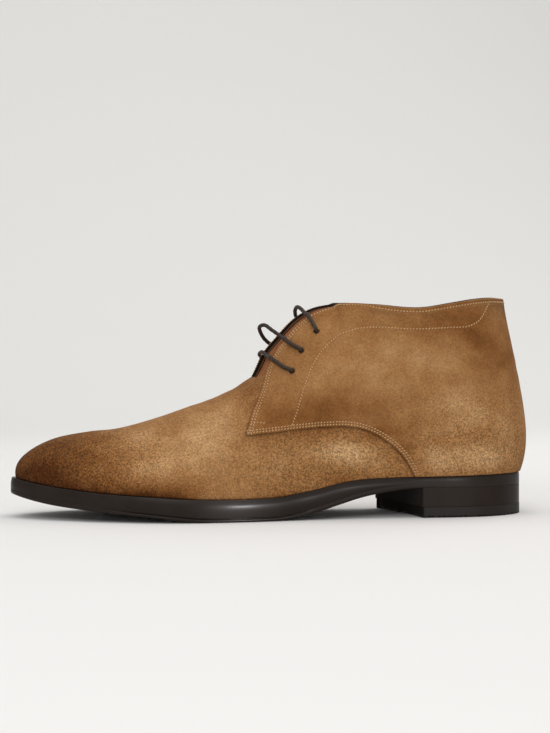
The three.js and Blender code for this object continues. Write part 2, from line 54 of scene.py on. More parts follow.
ribColumns = ("along", "outer", "inner", "ledge", "crestAlong", "crestHalf", "crestRise",
              "footOut", "footUp", "topOut", "topDrop")
ribRows = (
    (1.00, 0.000, 0.000, 2.3, 0.890, 0.00, 0.374, 0.07, 0.50, 0.39, 0.00),
    (0.98, 0.236, 0.292, 2.3, 0.884, 0.00, 0.377, 0.07, 0.50, 0.40, 0.00),
    (0.94, 0.434, 0.519, 2.2, 0.868, 0.00, 0.383, 0.07, 0.52, 0.44, 0.00),
    (0.88, 0.651, 0.717, 2.1, 0.837, 0.00, 0.393, 0.06, 0.56, 0.50, 0.00),
    (0.80, 0.868, 0.877, 2.0, 0.786, 0.00, 0.407, 0.05, 0.58, 0.57, 0.00),
    (0.72, 1.000, 0.934, 2.0, 0.716, 0.00, 0.453, 0.06, 0.53, 0.57, 0.00),
    (0.66, 1.028, 0.887, 1.9, 0.659, 0.00, 0.499, 0.06, 0.49, 0.55, 0.00),
    (0.60, 1.000, 0.792, 1.7, 0.599, 0.00, 0.551, 0.06, 0.46, 0.52, 0.00),
    (0.55, 0.950, 0.720, 1.5, 0.549, 0.00, 0.619, 0.05, 0.44, 0.49, 0.00),
    (0.50, 0.887, 0.651, 1.3, 0.499, 0.00, 0.782, 0.04, 0.42, 0.45, 0.00),
    (0.45, 0.820, 0.605, 1.1, 0.446, 0.00, 0.930, 0.03, 0.40, 0.45, 0.00),
    (0.42, 0.788, 0.592, 0.9, 0.408, 0.00, 0.970, 0.03, 0.38, 0.50, 0.00),
    (0.40, 0.764, 0.585, 0.8, 0.378, 0.00, 0.984, 0.04, 0.37, 0.52, 0.02),
    (0.37, 0.730, 0.582, 0.7, 0.361, 0.32, 0.986, 0.05, 0.36, 0.32, 0.08),
    (0.34, 0.703, 0.585, 0.6, 0.337, 0.51, 0.988, 0.06, 0.35, 0.18, 0.17),
    (0.30, 0.679, 0.594, 0.5, 0.300, 0.67, 0.984, 0.07, 0.34, 0.08, 0.28),
    (0.20, 0.642, 0.623, 0.4, 0.206, 0.88, 0.969, 0.10, 0.32, 0.03, 0.32),
    (0.15, 0.623, 0.613, 0.4, 0.155, 0.90, 0.985, 0.12, 0.30, 0.02, 0.33),
    (0.10, 0.575, 0.566, 0.4, 0.111, 0.82, 1.000, 0.16, 0.28, 0.02, 0.33),
    (0.05, 0.443, 0.443, 0.4, 0.070, 0.58, 1.007, 0.22, 0.26, 0.05, 0.33),
    (0.02, 0.283, 0.283, 0.4, 0.048, 0.35, 1.004, 0.28, 0.25, 0.09, 0.33),
    (0.00, 0.000, 0.000, 0.4, 0.038, 0.00, 1.000, 0.31, 0.24, 0.10, 0.33),
)
soleRows = (  # along, top, bottom
    (0.000, 1.044, 0.735), (0.080, 1.026, 0.735), (0.160, 1.008, 0.735), (0.216, 0.998, 0.735),
    (0.277, 0.984, 0.650), (0.335, 0.943, 0.502), (0.374, 0.869, 0.355), (0.413, 0.747, 0.208),
    (0.452, 0.653, 0.090), (0.490, 0.571, 0.020), (0.529, 0.545, 0.000), (0.606, 0.537, 0.000),
    (0.645, 0.551, 0.012), (0.681, 0.571, 0.049), (0.719, 0.604, 0.102), (0.794, 0.653, 0.192),
    (0.868, 0.727, 0.286), (0.942, 0.845, 0.412), (0.977, 0.925, 0.510), (1.000, 0.985, 0.590),
)


def smoothAt(knots, values, at):  # a smooth line through unevenly spaced knots
    knots, values, at = (np.asarray(numbers, float) for numbers in (knots, values, at))
    gaps = np.diff(knots)
    slopes = np.diff(values) / gaps
    tangents = np.empty_like(values)
    tangents[0], tangents[-1] = slopes[0], slopes[-1]
    tangents[1:-1] = (slopes[:-1] * gaps[1:] + slopes[1:] * gaps[:-1]) / (gaps[1:] + gaps[:-1])
    k = np.clip(np.searchsorted(knots, at, side="left") - 1, 0, len(knots) - 2)
    span = gaps[k]
    t = np.clip((at - knots[k]) / span, 0, 1)
    rise = values[k + 1] - values[k]
    a = tangents[k] * span - rise
    b = -tangents[k + 1] * span + rise
    return values[k] + rise * t + t * (1 - t) * ((1 - t) * a + t * b)


def turnOf(along):
    return np.arccos(np.clip(2 * np.asarray(along, float) - 1, -1, 1)) / np.pi


def makeTracks():  # each column once round the boot: turn 0 at the toe, 1 at the heel
    tracks = {}
    for name in ribColumns + ("side", "crestSide"):
        knots, values = [], []
        for part in (-1, 0, 1, 2):
            even = part % 2 == 0
            for row in (ribRows if even else ribRows[::-1]):
                own = float(turnOf(row[0]))
                at = part + own if even else part + 1 - own
                if knots and abs(at - knots[-1]) < 1e-6:
                    continue
                sign = 1 if even else -1
                if name == "side":
                    value = sign * row[ribColumns.index("outer" if even else "inner")]
                elif name == "crestSide":
                    value = sign * row[ribColumns.index("crestHalf")]
                else:
                    value = row[ribColumns.index(name)]
                knots.append(at)
                values.append(value)
        tracks[name] = (knots, values)
    return tracks


lastTracks = makeTracks()


def track(name, turn):
    return smoothAt(*lastTracks[name], turn)


def toX(along):
    return np.asarray(along, float) * lastSizes["length"] - lastSizes["heelReach"]


def toAlong(x):
    return (np.asarray(x, float) + lastSizes["heelReach"]) / lastSizes["length"]


def soleLevel(which, x):  # which is 1 for the sole's top, 2 for its bottom
    columns = np.transpose(soleRows)
    level = smoothAt(columns[0], columns[which], np.clip(toAlong(x), 0, 1))
    return lastSizes["heelHeight"] * np.maximum(0, level)


def outlineXY(turn):
    x = lastSizes["length"] * (1 + np.cos(np.pi * turn)) / 2 - lastSizes["heelReach"]
    return x, track("side", turn) * lastSizes["ballWidth"] / 2


def outline(turn, inset=0.0):  # the sole's edge in plan, moved inward
    turn = np.asarray(turn, float)
    x, y = outlineXY(turn)
    xa, ya = outlineXY(turn - 0.004)
    xb, yb = outlineXY(turn + 0.004)
    size = np.hypot(xb - xa, yb - ya)
    nx, ny = (yb - ya) / size, -(xb - xa) / size
    return x - nx * inset, y - ny * inset, nx, ny


def crestSide(turn):
    value = track("crestSide", turn)
    return np.where((turn < 1) & (turn > 0), np.maximum(0, value), np.minimum(0, value))


collarDips = ((48.0, 25.0, 1.0, False), (12.0, 21.0, 2.6, True))  # x, reach, mm lower, inner side only


def crestPoint(turn):
    x = toX(track("crestAlong", turn))
    z = track("crestRise", turn) * lastSizes["shaftHeight"]
    for place, reach, drop, innerOnly in collarDips:
        side = np.clip((turn - 1) * 20, 0, 1) if innerOnly else 1.0
        z = z - drop * side * np.exp(-((x - place) / reach) ** 2) * (np.abs(crestSide(turn)) > 1e-6)
    return np.stack([x, crestSide(turn) * lastSizes["seatWidth"] / 2, z], -1)


def onRidge(turn):
    return (np.abs(crestSide(turn)) < 1e-6) & (np.abs(turn - 1) > 0.05)


def ridgeRun(turn):
    own = np.where(turn > 1, 2 - turn, np.abs(turn))
    front = crestPoint(np.maximum(0, own - 0.02))
    back = crestPoint(own + 0.02)
    return front[..., 0] - back[..., 0], front[..., 2] - back[..., 2]


def pointOn(turn, v):  # v runs from 0 at the sole to 1 at the crest
    turn = np.asarray(turn, float)
    x, y, nx, ny = outline(turn, track("ledge", turn) * lastSizes["featherStep"])
    start = np.stack([x, y, soleLevel(1, x) + lastSizes["upperGap"]], -1)
    crest = crestPoint(turn)
    height = crest[..., 2] - start[..., 2]
    out = track("footOut", turn) * lastSizes["seatWidth"] / 2
    top = track("topOut", turn) * lastSizes["ballWidth"] / 2
    dx, dz = ridgeRun(turn)
    slope = np.where(onRidge(turn), dz / dx, 0)
    low = start + np.stack([nx * out, ny * out, track("footUp", turn) * height], -1)
    high = crest + np.stack([nx * top, ny * top, slope * nx * top - track("topDrop", turn) * height], -1)
    v = np.asarray(v, float)[..., None]
    w = 1 - v
    return w**3 * start + 3 * w * w * v * low + 3 * w * v * v * high + v**3 * crest


def unit(vectors):
    return vectors / np.maximum(1e-9, np.linalg.norm(vectors, axis=-1, keepdims=True))


def normalOn(turn, v):
    turn = np.asarray(turn, float)
    v = np.asarray(v, float)
    at = np.clip(v, 0.01, 0.985)
    e = 0.004
    a = pointOn(turn + e, at) - pointOn(turn - e, at)
    b = pointOn(turn, at + e) - pointOn(turn, at - e)
    normal = unit(np.cross(a, b))
    dx, dz = ridgeRun(turn)
    ridge = unit(np.stack([-dz, np.zeros_like(dz), dx], -1))
    nearRidge = np.clip((v - 0.985) / 0.015, 0, 1) * onRidge(turn)
    normal = normal * (1 - nearRidge[..., None]) + ridge * nearRidge[..., None]
    ends = np.abs(turn - np.round(turn)) < 1e-6
    normal[..., 1] = np.where(ends, 0, normal[..., 1])
    return unit(normal)


# Creases and slack of the worn-in leather, as shares of the boot's own sizes: along, rise,
# tilt in degrees, reach along the fold, width across it, depth in mm
creaseRows = (
    (0.130, 0.800, 32, 0.070, 0.016, 0.45),
    (0.085, 0.700, 25, 0.060, 0.014, 0.40),
    (0.180, 0.880, 20, 0.060, 0.014, 0.25),
    (0.060, 0.560, 12, 0.040, 0.012, 0.30),
    (0.130, 0.370, -12, 0.060, 0.010, 0.22),
    (0.110, 0.330, -20, 0.045, 0.009, 0.20),
    (0.300, 0.620, 55, 0.080, 0.020, 0.30),
    (0.380, 0.560, 60, 0.060, 0.018, 0.30),
    (0.560, 0.470, 72, 0.045, 0.014, 0.35),
    (0.600, 0.430, 78, 0.045, 0.013, 0.30),
    (0.640, 0.400, 84, 0.040, 0.012, 0.25),
    (0.690, 0.330, 64, 0.040, 0.016, 0.20),
    (0.480, 0.300, 10, 0.070, 0.016, 0.25),
)

throatDips = (  # where the vamp ends, and along the throat: x, reach ahead, reach behind, half width, mm
    (130.5, 4.6, 4.4, 12.0, 3.4),
    (108.0, 14.0, 14.0, 11.0, 2.4),
)
heightShare = lastSizes["shaftHeight"] / lastSizes["length"]


def runAcross(points, along, rise, tilt):  # shares of length along and across a tilted line
    c, s = math.cos(math.radians(tilt)), math.sin(math.radians(tilt))
    dx = toAlong(points[..., 0]) - along
    dz = (points[..., 2] / lastSizes["shaftHeight"] - rise) * heightShare
    return dx * c + dz * s, -dx * s + dz * c


def reliefOf(points):  # troughs with a soft ridge on each side
    x, y, z = np.moveaxis(points, -1, 0)
    rise = z / lastSizes["shaftHeight"]
    total = np.zeros_like(z)
    for along, up, tilt, reach, width, depth in creaseRows:
        run, across = runAcross(points, along, up, tilt)
        across = across - 0.25 * run * run / reach  # each fold is slightly bent
        r = (across / width) ** 2
        total -= 1.35 * depth * np.exp(-(run / reach) ** 2) * (1 - 0.9 * r) * np.exp(-0.6 * r)
    for place, front, back, wide, depth in throatDips:
        reach = np.where(x > place, front, back)
        total -= depth * np.exp(-((x - place) / reach) ** 2 - (y / wide) ** 2) * (rise > 0.5)
    slack = np.sin(x * 0.071 + 1.3) * np.sin(z * 0.083 + 0.4) + 0.6 * np.sin(x * 0.043 - z * 0.127 + 2.0)
    return total + 0.14 * slack * np.clip((rise - 0.15) * 6, 0, 1)


def skin(turn, v, away):  # a place off the last's surface, with its creases and slack
    base = pointOn(turn, v)
    lift = away + reliefOf(base) * np.clip(np.asarray(v, float) * 12, 0, 1)
    return base + normalOn(turn, v) * lift[..., None]


def mirrored(turn, inner):  # a rib of the outer side, or the same rib of the inner side
    return 2 - turn if inner else turn


def ownTurn(turn):  # ribs of both sides counted from the toe
    return np.where(turn > 1, 2 - turn, turn)


def locate(x, z, inner):  # the turn and rise of places given in side view
    turn, v = turnOf(toAlong(x)), np.full_like(x, 0.55)
    small = 1e-4
    for _ in range(60):
        p = pointOn(mirrored(turn, inner), v)
        byTurn = (pointOn(mirrored(turn + small, inner), v) - p) / small
        byRise = (pointOn(mirrored(turn, inner), v + small) - p) / small
        det = byTurn[:, 0] * byRise[:, 2] - byRise[:, 0] * byTurn[:, 2]
        ex, ez = x - p[:, 0], z - p[:, 2]
        turn = turn + 0.6 * (byRise[:, 2] * ex - byRise[:, 0] * ez) / det
        v = np.clip(v + 0.6 * (byTurn[:, 0] * ez - byTurn[:, 2] * ex) / det, 0.0, 0.985)
    return mirrored(turn, inner), v


def runOf(points):  # length along a line of points, from its start
    return np.concatenate([[0], np.cumsum(np.linalg.norm(np.diff(points, axis=0), axis=1))])


def sampleLine(points, step):  # evenly spaced places along a smooth line through points
    points = np.asarray(points, float)
    chord = runOf(points)
    fine = np.linspace(0, chord[-1], max(8, int(chord[-1] / 0.25)))
    line = np.stack([smoothAt(chord, column, fine) for column in points.T], -1)
    length = runOf(line)
    at = np.linspace(0, length[-1], max(2, int(round(length[-1] / step))) + 1)
    return np.stack([np.interp(at, length, column) for column in line.T], -1)


def softKernel(reach):  # weights that smooth over this many places on each side
    kernel = np.exp(-np.linspace(-2, 2, 2 * reach + 1) ** 2)
    return kernel / kernel.sum()


def ease(share):  # a soft step from 0 to 1
    share = np.clip(share, 0, 1)
    return share * share * (3 - 2 * share)


def gapTo(targets):  # measures the distance from places to the nearest target
    tree = kdtree.KDTree(len(targets))
    for index, target in enumerate(targets):
        tree.insert(Vector(target), index)
    tree.balance()
    return lambda points: np.array([tree.find(Vector(p))[2] for p in points])


# Mesh helpers

def smoothFaces(piece):
    piece.data.polygons.foreach_set("use_smooth", [True] * len(piece.data.polygons))


def makeMesh(name, points, faces, smooth=True):
    mesh = bpy.data.meshes.new(name)
    mesh.from_pydata((np.reshape(points, (-1, 3)) / 1000).tolist(), [], [list(map(int, f)) for f in faces])
    mesh.update()
    piece = bpy.data.objects.new(name, mesh)
    bpy.context.scene.collection.objects.link(piece)
    if smooth:
        smoothFaces(piece)
    return piece


def gridFaces(columns, rows):
    k, r = np.meshgrid(np.arange(columns - 1), np.arange(rows - 1), indexing="ij")
    a, b = k * rows + r, (k + 1) * rows + r
    return np.stack([a, b, b + 1, a + 1], -1).reshape(-1, 4)


def tubeFaces(columns, around, loop=False):  # closed cross-sections joined along the columns
    k, r = np.meshgrid(np.arange(columns if loop else columns - 1), np.arange(around), indexing="ij")
    here, there, n = k * around, (k + 1) % columns * around, (r + 1) % around
    faces = np.stack([here + r, there + r, there + n, here + n], -1).reshape(-1, 4).tolist()
    if not loop:
        last = (columns - 1) * around
        faces += [list(range(around - 1, -1, -1)), list(range(last, last + around))]
    return faces


def rework(piece, change):  # runs a change on the piece's mesh
    work = bmesh.new()
    work.from_mesh(piece.data)
    change(work)
    work.to_mesh(piece.data)
    work.free()
    smoothFaces(piece)
    piece.data.update()


def mergeClose(piece, distance=0.000004):
    def change(work):
        bmesh.ops.remove_doubles(work, verts=work.verts, dist=distance)
        bmesh.ops.dissolve_degenerate(work, edges=work.edges, dist=1e-7)
        bmesh.ops.recalc_face_normals(work, faces=work.faces)
    rework(piece, change)
    return piece


def faceOutward(piece, inside):  # faces look away from a point inside, in metres
    def change(work):
        sample = list(work.faces)[::37]
        if sum((f.calc_center_median() - Vector(inside)).dot(f.normal) for f in sample) < 0:
            bmesh.ops.reverse_faces(work, faces=work.faces)
    rework(piece, change)


def vertexData(piece, key):
    flat = np.empty(len(piece.data.vertices) * 3)
    piece.data.vertices.foreach_get(key, flat)
    return flat.reshape(-1, 3)


def positions(piece):
    return vertexData(piece, "co") * 1000


def setMask(piece, name, values):
    mask = piece.data.attributes.new(name, "FLOAT", "POINT")
    mask.data.foreach_set("value", np.asarray(values, np.float32))


def dress(piece, material, slotName, *nodes):
    piece.data.materials.clear()
    piece.data.materials.append(material)
    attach(piece, "root")
    if nodes:
        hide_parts(*nodes)


# Seams in side view: x and z in mm

seamLine = (  # the quarter's front edge over the vamp, from the sole to the front corner
    (37.8, 20.0), (38.2, 26.5), (40.4, 30.7), (44.8, 37.4), (51.6, 44.0), (58.7, 48.8), (67.7, 53.0),
    (76.7, 54.8), (88.8, 54.9), (106.6, 53.6), (124.2, 51.5), (138.5, 50.0),
)
facingLine = (  # the facing's edge, from the front corner up to the throat
    (138.5, 50.6), (135.2, 59.9), (131.3, 68.7), (127.4, 77.5), (123.8, 88.0), (121.6, 92.8),
)
facingLineInner = (
    (138.5, 50.6), (136.6, 60.5), (134.4, 70.0), (132.2, 77.5), (130.4, 82.5),
)
throatHalf = (  # half width of the throat in plan, by x
    (60.0, 7.6), (78.9, 7.8), (81.5, 8.6), (84.0, 9.4), (87.9, 10.4), (97.2, 11.5), (105.3, 13.0),
    (111.2, 14.6), (115.8, 15.6), (121.6, 17.0),
)
throatHalfInner = (
    (60.0, 10.0), (79.0, 7.5), (90.0, 6.4), (112.0, 6.4), (122.0, 6.8), (126.0, 8.0), (129.0, 10.5),
)
collarCorner = {"drop": 1.6, "reach": 0.02, "round": 0.014, "from": 0.54}  # mm off the corner, then in turns
vampThroat = ((118.0, 24.0), (124.5, 22.0), (128.5, 18.5), (131.4, 13.0), (132.9, 6.5), (133.3, 0.0))
throatFront = 133.2  # x of the ridge where the vamp closes
sides = (False, True)  # outer, inner


def riseAcross(turns, halfWidths):  # the rise at which each rib is a given distance from the middle
    low, high = np.full_like(turns, 0.4), np.ones_like(turns)
    knots = np.transpose(halfWidths)
    for _ in range(40):
        mid = (low + high) / 2
        p = pointOn(turns, mid)
        wide = np.abs(p[:, 1]) > np.interp(p[:, 0], *knots)
        low, high = np.where(wide, mid, low), np.where(wide, high, mid)
    return (low + high) / 2


def throatRise(turns):  # where the vamp ends under the facings
    return np.where(crestPoint(turns)[:, 0] > throatFront, 1.0, riseAcross(turns, vampThroat))


def edgeCurves(inner):  # seam and facing as rise over turn, for one side
    def found(line):
        turn, v = locate(*sampleLine(line, 1.0).T, inner)
        return mirrored(turn, inner), v
    seam = found(seamLine)
    order = np.argsort(seam[0])
    seam = (seam[0][order], seam[1][order])
    front, v = found(facingLineInner if inner else facingLine)
    plan = turnOf(toAlong(np.arange(128.0 if inner else 119.0, 72.0, -1.0)))
    plan = plan[plan > front.max() + 0.004]
    w = riseAcross(mirrored(plan, inner), throatHalfInner if inner else throatHalf)
    own, v = np.concatenate([front, plan]), np.concatenate([v, np.where(w > 0.999, 1.0, w)])
    order = np.argsort(own)
    fine = np.linspace(own.min(), own.max(), 400)
    step = fine[1] - fine[0]
    values = np.interp(fine, own[order], v[order])
    spread = 6
    padded = np.pad(values, spread, mode="edge")
    padded[:spread] = values[0] + (values[1] - values[0]) * np.arange(-spread, 0)
    values = np.convolve(padded, softKernel(spread), "valid")
    # the corner at the collar's front is rounded by smoothing the edge with what follows it
    end = fine[np.argmax(values > 0.9995)] if np.any(values > 0.9995) else fine[-1]
    after = np.arange(end, end + 0.08, step)
    ribs, topShare = mirrored(after, inner), 0.02
    length = np.linalg.norm(pointOn(ribs, 1.0) - pointOn(ribs, 1 - topShare), axis=-1)
    cut = topShare * collarCorner["drop"] / length * np.exp(-((after - end) / collarCorner["reach"]) ** 1.5)
    joined = np.concatenate([values[fine < end], 1 - cut])
    reach = int(collarCorner["round"] / step)
    soft = np.convolve(np.pad(joined, reach, mode="edge"), softKernel(reach), "valid")
    turns = fine[0] + step * np.arange(len(joined))
    weight = np.clip((turns - collarCorner["from"]) / 0.012, 0, 1)
    return seam, (turns, joined * (1 - weight) + soft * weight)


edges = {inner: edgeCurves(inner) for inner in sides}


def quarterRange(turns):  # lowest and highest rise of the quarter on each rib
    low, high = np.zeros_like(turns), np.ones_like(turns)
    own = ownTurn(turns)
    for inner in sides:
        mine = (turns > 1) == inner
        seam, facing = edges[inner]
        low = np.where(mine & (own < seam[0][-1]), np.interp(own, *seam), low)
        high = np.where(mine, np.interp(own, *facing, right=1), high)
    return np.clip(low, 0, 1), np.clip(high, 0, 1)


def arcTurns(first, last, stepOf):  # turns between two ends, spaced by a step in mm that depends on x
    fine = np.linspace(first, last, 6000)
    x, y = outlineXY(fine)
    step = np.interp(x[:-1], *stepOf)
    density = np.concatenate([[0], np.cumsum(np.hypot(np.diff(x), np.diff(y)) / step)])
    count = int(round(density[-1]))
    return np.interp(np.linspace(0, density[-1], count + 1), density, fine)


# Thread rows, found once so that the leather can dip along them

stitchRows = {
    "seamNear": 1.2, "seamFar": 2.7,  # mm inside the quarter's lower edge
    "facingNear": 1.2, "facingFar": 2.9,  # mm inside the facing's edge
    "farRowEnd": 101.0,  # x where the facing's second row stops
    "pitch": 1.85,
    "threadWidth": 0.92,
    "threadLength": 0.74,  # share of the pitch
    "slant": 0.55,
    "groove": 0.3,
    "grooveWidth": 0.7,
}
innerRow = (
    (111.6, 55.5), (108.0, 64.9), (102.9, 79.6), (97.9, 90.8), (93.6, 97.3), (85.7, 105.6), (78.4, 110.0),
    (69.6, 112.7), (57.7, 113.6), (39.9, 112.7), (15.8, 113.6), (3.2, 114.7), (-2.0, 117.4), (-6.5, 123.4),
    (-9.0, 128.2),
)
tackRow = ((136.0, 56.2), (133.0, 57.0), (129.8, 57.3), (127.0, 56.9))
quarterAway = 1.1


def surfaceRow(turns, v):  # the places of evenly spaced stitches along a line, and places just ahead of them
    length = runOf(pointOn(turns, v))
    count = max(1, int(round(length[-1] / stitchRows["pitch"])))
    at = (np.arange(count) + 0.5) * length[-1] / count
    ahead = np.clip(at + 0.4, 0, length[-1])
    return [(np.interp(place, length, turns), np.interp(place, length, v)) for place in (at, ahead)]


def shiftedRow(turns, v, shift):  # moves a line across the surface by a distance in mm, to its left
    points = pointOn(turns, v)
    normals = normalOn(turns, v)
    tangent = unit(np.gradient(points, axis=0))
    side = np.cross(normals, tangent)
    small = 1e-3
    dTurn = (pointOn(turns + small, v) - points) / small
    above, below = (pointOn(turns, np.clip(v + step, 0, 1)) for step in (small, -small))
    dRise = (above - below) / (2 * small)
    move = side * shift
    aa = np.sum(dTurn * dTurn, -1)
    bb = np.sum(dTurn * dRise, -1)
    cc = np.sum(dRise * dRise, -1)
    ma, mb = np.sum(move * dTurn, -1), np.sum(move * dRise, -1)
    det = aa * cc - bb * bb
    return turns + (ma * cc - mb * bb) / det, np.clip(v + (mb * aa - ma * bb) / det, 0.004, 0.999)


def threadRows():
    rows = []
    for inner in sides:
        sign = -1 if inner else 1
        seam, facing = edges[inner]
        # the seam, from the front corner back to the sole
        keep = seam[1] > 0.004
        for name in ("seamNear", "seamFar"):
            rows.append(shiftedRow(mirrored(seam[0][keep], inner), seam[1][keep], sign * stitchRows[name]))
        # along the facing and the collar's edge, then a second row beside the eyelets
        turns = mirrored(np.concatenate([facing[0], np.linspace(facing[0][-1] + 0.003, 1.0, 140)]), inner)
        rows.append(shiftedRow(turns, quarterRange(turns)[1], sign * -stitchRows["facingNear"]))
        keep = facing[0] < turnOf(toAlong(stitchRows["farRowEnd"]))
        turns = mirrored(facing[0][keep], inner)
        rows.append(shiftedRow(turns, facing[1][keep], sign * -stitchRows["facingFar"]))
        # the single row round eyelets and collar, and the tack at the front corner
        for line, step in ((innerRow, 1.0), (tackRow, 0.6)):
            rows.append(locate(*sampleLine(line, step).T, inner))
    return rows


threadLines = threadRows()
threadGap = gapTo(np.concatenate([pointOn(t, v) for t, v in threadLines]))


print("seam lines found")

# Eyelets

eyeletSizes = {"radius": 1.4, "reach": 9.0}
eyeletPlaces = ((110.1, 87.4), (104.1, 99.5), (94.7, 110.9))  # x, z


eyeletSpots = [list(zip(*locate(*np.array(eyeletPlaces).T, inner))) for inner in sides]


def punchEyelets(piece):  # real holes through the leather
    points, faces = [], []
    around = 20
    angle = 2 * np.pi * np.arange(around)[:, None] / around
    for turn, v in eyeletSpots[0] + eyeletSpots[1]:
        centre, axis = pointOn(turn, v), normalOn(turn, v)
        u = unit(np.cross(axis, [0.3, 0.2, 1.0]))
        ring = centre + eyeletSizes["radius"] * (u * np.cos(angle) + np.cross(axis, u) * np.sin(angle))
        start = len(points)
        for reach in (-eyeletSizes["reach"], eyeletSizes["reach"]):
            points += list(ring + axis * reach)
        for k in range(around):
            n = (k + 1) % around
            faces.append([start + k, start + n, start + n + around, start + k + around])
        faces.append([start + k for k in reversed(range(around))])
        faces.append([start + around + k for k in range(around)])
    cutter = makeMesh("eyeletCutter", points, faces, smooth=False)
    cut = piece.modifiers.new("holes", "BOOLEAN")
    cut.object = cutter
    cut.operation = "DIFFERENCE"
    cut.solver = "EXACT"
    bpy.context.view_layer.objects.active = piece
    with bpy.context.temp_override(object=piece, active_object=piece, selected_objects=[piece]):
        bpy.ops.object.modifier_apply(modifier=cut.name)
    bpy.data.objects.remove(cutter)


# Suede tones: along, rise, reach along, reach up, tilt, amount (+ dark, - light)

toneAndShadeRows = (
    (1.000, 0.20, 0.100, 0.30, 0, 0.84),
    (0.900, 0.16, 0.110, 0.10, -6, 0.55),
    (0.780, 0.13, 0.070, 0.07, -8, 0.55),
    (0.700, 0.115, 0.080, 0.035, 0, 0.35),
    (0.860, 0.36, 0.060, 0.07, 0, 0.25),
    (0.520, 0.50, 0.070, 0.09, 20, 0.42),
    (0.440, 0.47, 0.080, 0.10, 0, 0.40),
    (0.340, 0.50, 0.060, 0.07, 0, 0.30),
    # painted shadow: this row and the next darken the vamp along the quarter's seam, where its step shades it
    (0.300, 0.385, 0.090, 0.035, -8, 0.40),
    (0.250, 0.30, 0.025, 0.10, 12, 0.42),
    (0.550, 0.62, 0.030, 0.08, 50, 0.25),
    (0.105, 0.83, 0.060, 0.05, 35, 0.50),
    (0.075, 0.75, 0.055, 0.13, 30, 0.32),
    (0.022, 0.62, 0.014, 0.16, 0, 0.35),
    (0.090, 0.29, 0.050, 0.07, 10, -0.35),
    (0.030, 0.40, 0.030, 0.10, 0, -0.28),
    (0.110, 0.38, 0.050, 0.025, -12, 0.12),
    (0.900, 0.31, 0.080, 0.09, -20, 0.28),
    (0.710, 0.14, 0.060, 0.040, 0, 0.35),
    (0.400, 0.62, 0.060, 0.08, 0, -0.10),
    (0.290, 0.62, 0.060, 0.10, 0, -0.16),
    (0.220, 0.88, 0.070, 0.05, 0, 0.22),
    (0.085, 0.28, 0.040, 0.05, 0, -0.20),
    (0.290, 0.25, 0.045, 0.05, 0, -0.28),
    (0.810, 0.27, 0.050, 0.07, -10, 0.20),
    (0.750, 0.39, 0.050, 0.06, -20, -0.30),
    (0.630, 0.40, 0.050, 0.07, -20, -0.20),
    (0.575, 0.53, 0.045, 0.07, -30, -0.26),
    (0.380, 0.31, 0.070, 0.06, 0, -0.55),
    (0.170, 0.28, 0.050, 0.06, 0, -0.30),
    (0.370, 0.18, 0.060, 0.04, 0, 0.25),
    (0.200, 0.94, 0.220, 0.06, 0, 0.18),
    (0.150, 0.62, 0.060, 0.05, 25, 0.16),
    (0.640, 0.36, 0.170, 0.09, -28, -0.42),
    (0.720, 0.26, 0.120, 0.05, -8, -0.22),
    (0.560, 0.22, 0.100, 0.06, 0, -0.22),
    (0.130, 0.52, 0.070, 0.11, 20, -0.50),
    (0.200, 0.40, 0.060, 0.05, 0, -0.30),
    (0.150, 0.24, 0.070, 0.05, 0, -0.28),
    (0.360, 0.30, 0.060, 0.05, 0, -0.35),
    (0.190, 0.74, 0.070, 0.09, 20, -0.22),
    (0.330, 0.72, 0.080, 0.10, 0, -0.15),
    (0.055, 0.62, 0.035, 0.05, 30, -0.20),
    (0.253, 0.77, 0.050, 0.08, 0, -0.17),
    (0.290, 0.93, 0.050, 0.05, 0, -0.25),
    (0.116, 0.93, 0.035, 0.05, 0, 0.28),
    (0.390, 0.355, 0.050, 0.05, 0, -0.16),
    (0.607, 0.10, 0.060, 0.05, 0, -0.40),
    (0.985, 0.22, 0.020, 0.10, 0, -0.22),
    (0.176, 0.31, 0.040, 0.05, 0, -0.18),
)


def toneAndShadeOf(points):
    total = np.zeros(len(points))
    for along, rise, reachAlong, reachUp, tilt, amount in toneAndShadeRows:
        run, across = runAcross(points, along, rise, tilt)
        total += amount * np.exp(-(run / reachAlong) ** 2 - (across / (reachUp * heightShare)) ** 2)
    # painted shade: the last term darkens the suede just above the sole, where the upper meets it, less
    # towards the heel
    edge = points[:, 2] - soleLevel(1, points[:, 0])
    forward = np.clip((toAlong(points[:, 0]) - 0.3) * 6, 0.4, 1)
    return total + 0.34 * np.exp(-np.maximum(0, edge) / 2.0) * forward


def paintSuede(piece, rimAndShade, rough):  # masks that the suede material reads
    points = positions(piece)
    setMask(piece, "nap", rough(points[:, 0], points[:, 2]))
    setMask(piece, "toneAndShade", np.clip(toneAndShadeOf(points) * 0.5 + 0.5, 0, 1))
    # darker along the thread rows: partly painted shade in the grooves the thread pulls in, partly the darker
    # suede at the stitch holes
    setMask(piece, "groove", np.exp(-(threadGap(points) / 0.9) ** 2))
    # dark cut edges and holes, and on the vamp a painted shadow under the seam
    setMask(piece, "rimAndShade", rimAndShade(points))


# Shader groups

def newGroup(name, inputs, outputs):
    group = bpy.data.node_groups.new(name, "ShaderNodeTree")
    for label, kind, value in inputs:
        item = group.interface.new_socket(label, in_out="INPUT", socket_type=kind)
        if value is not None:
            item.default_value = value
    for label, kind in outputs:
        group.interface.new_socket(label, in_out="OUTPUT", socket_type=kind)
    return group, group.nodes.new("NodeGroupInput"), group.nodes.new("NodeGroupOutput")


def add(tree, kind, **values):
    node = tree.nodes.new(kind)
    for key, value in values.items():
        setattr(node, key, value)
    return node


def setValues(node, **values):  # names have an underscore for each space
    for label, value in values.items():
        node.inputs[label.replace("_", " ")].default_value = value


def feed(tree, socket, value):  # a number, a colour or another node's output
    if isinstance(value, (int, float)):
        socket.default_value = value
    elif isinstance(value, tuple):
        socket.default_value = (*value, 1.0)
    else:
        tree.links.new(value, socket)


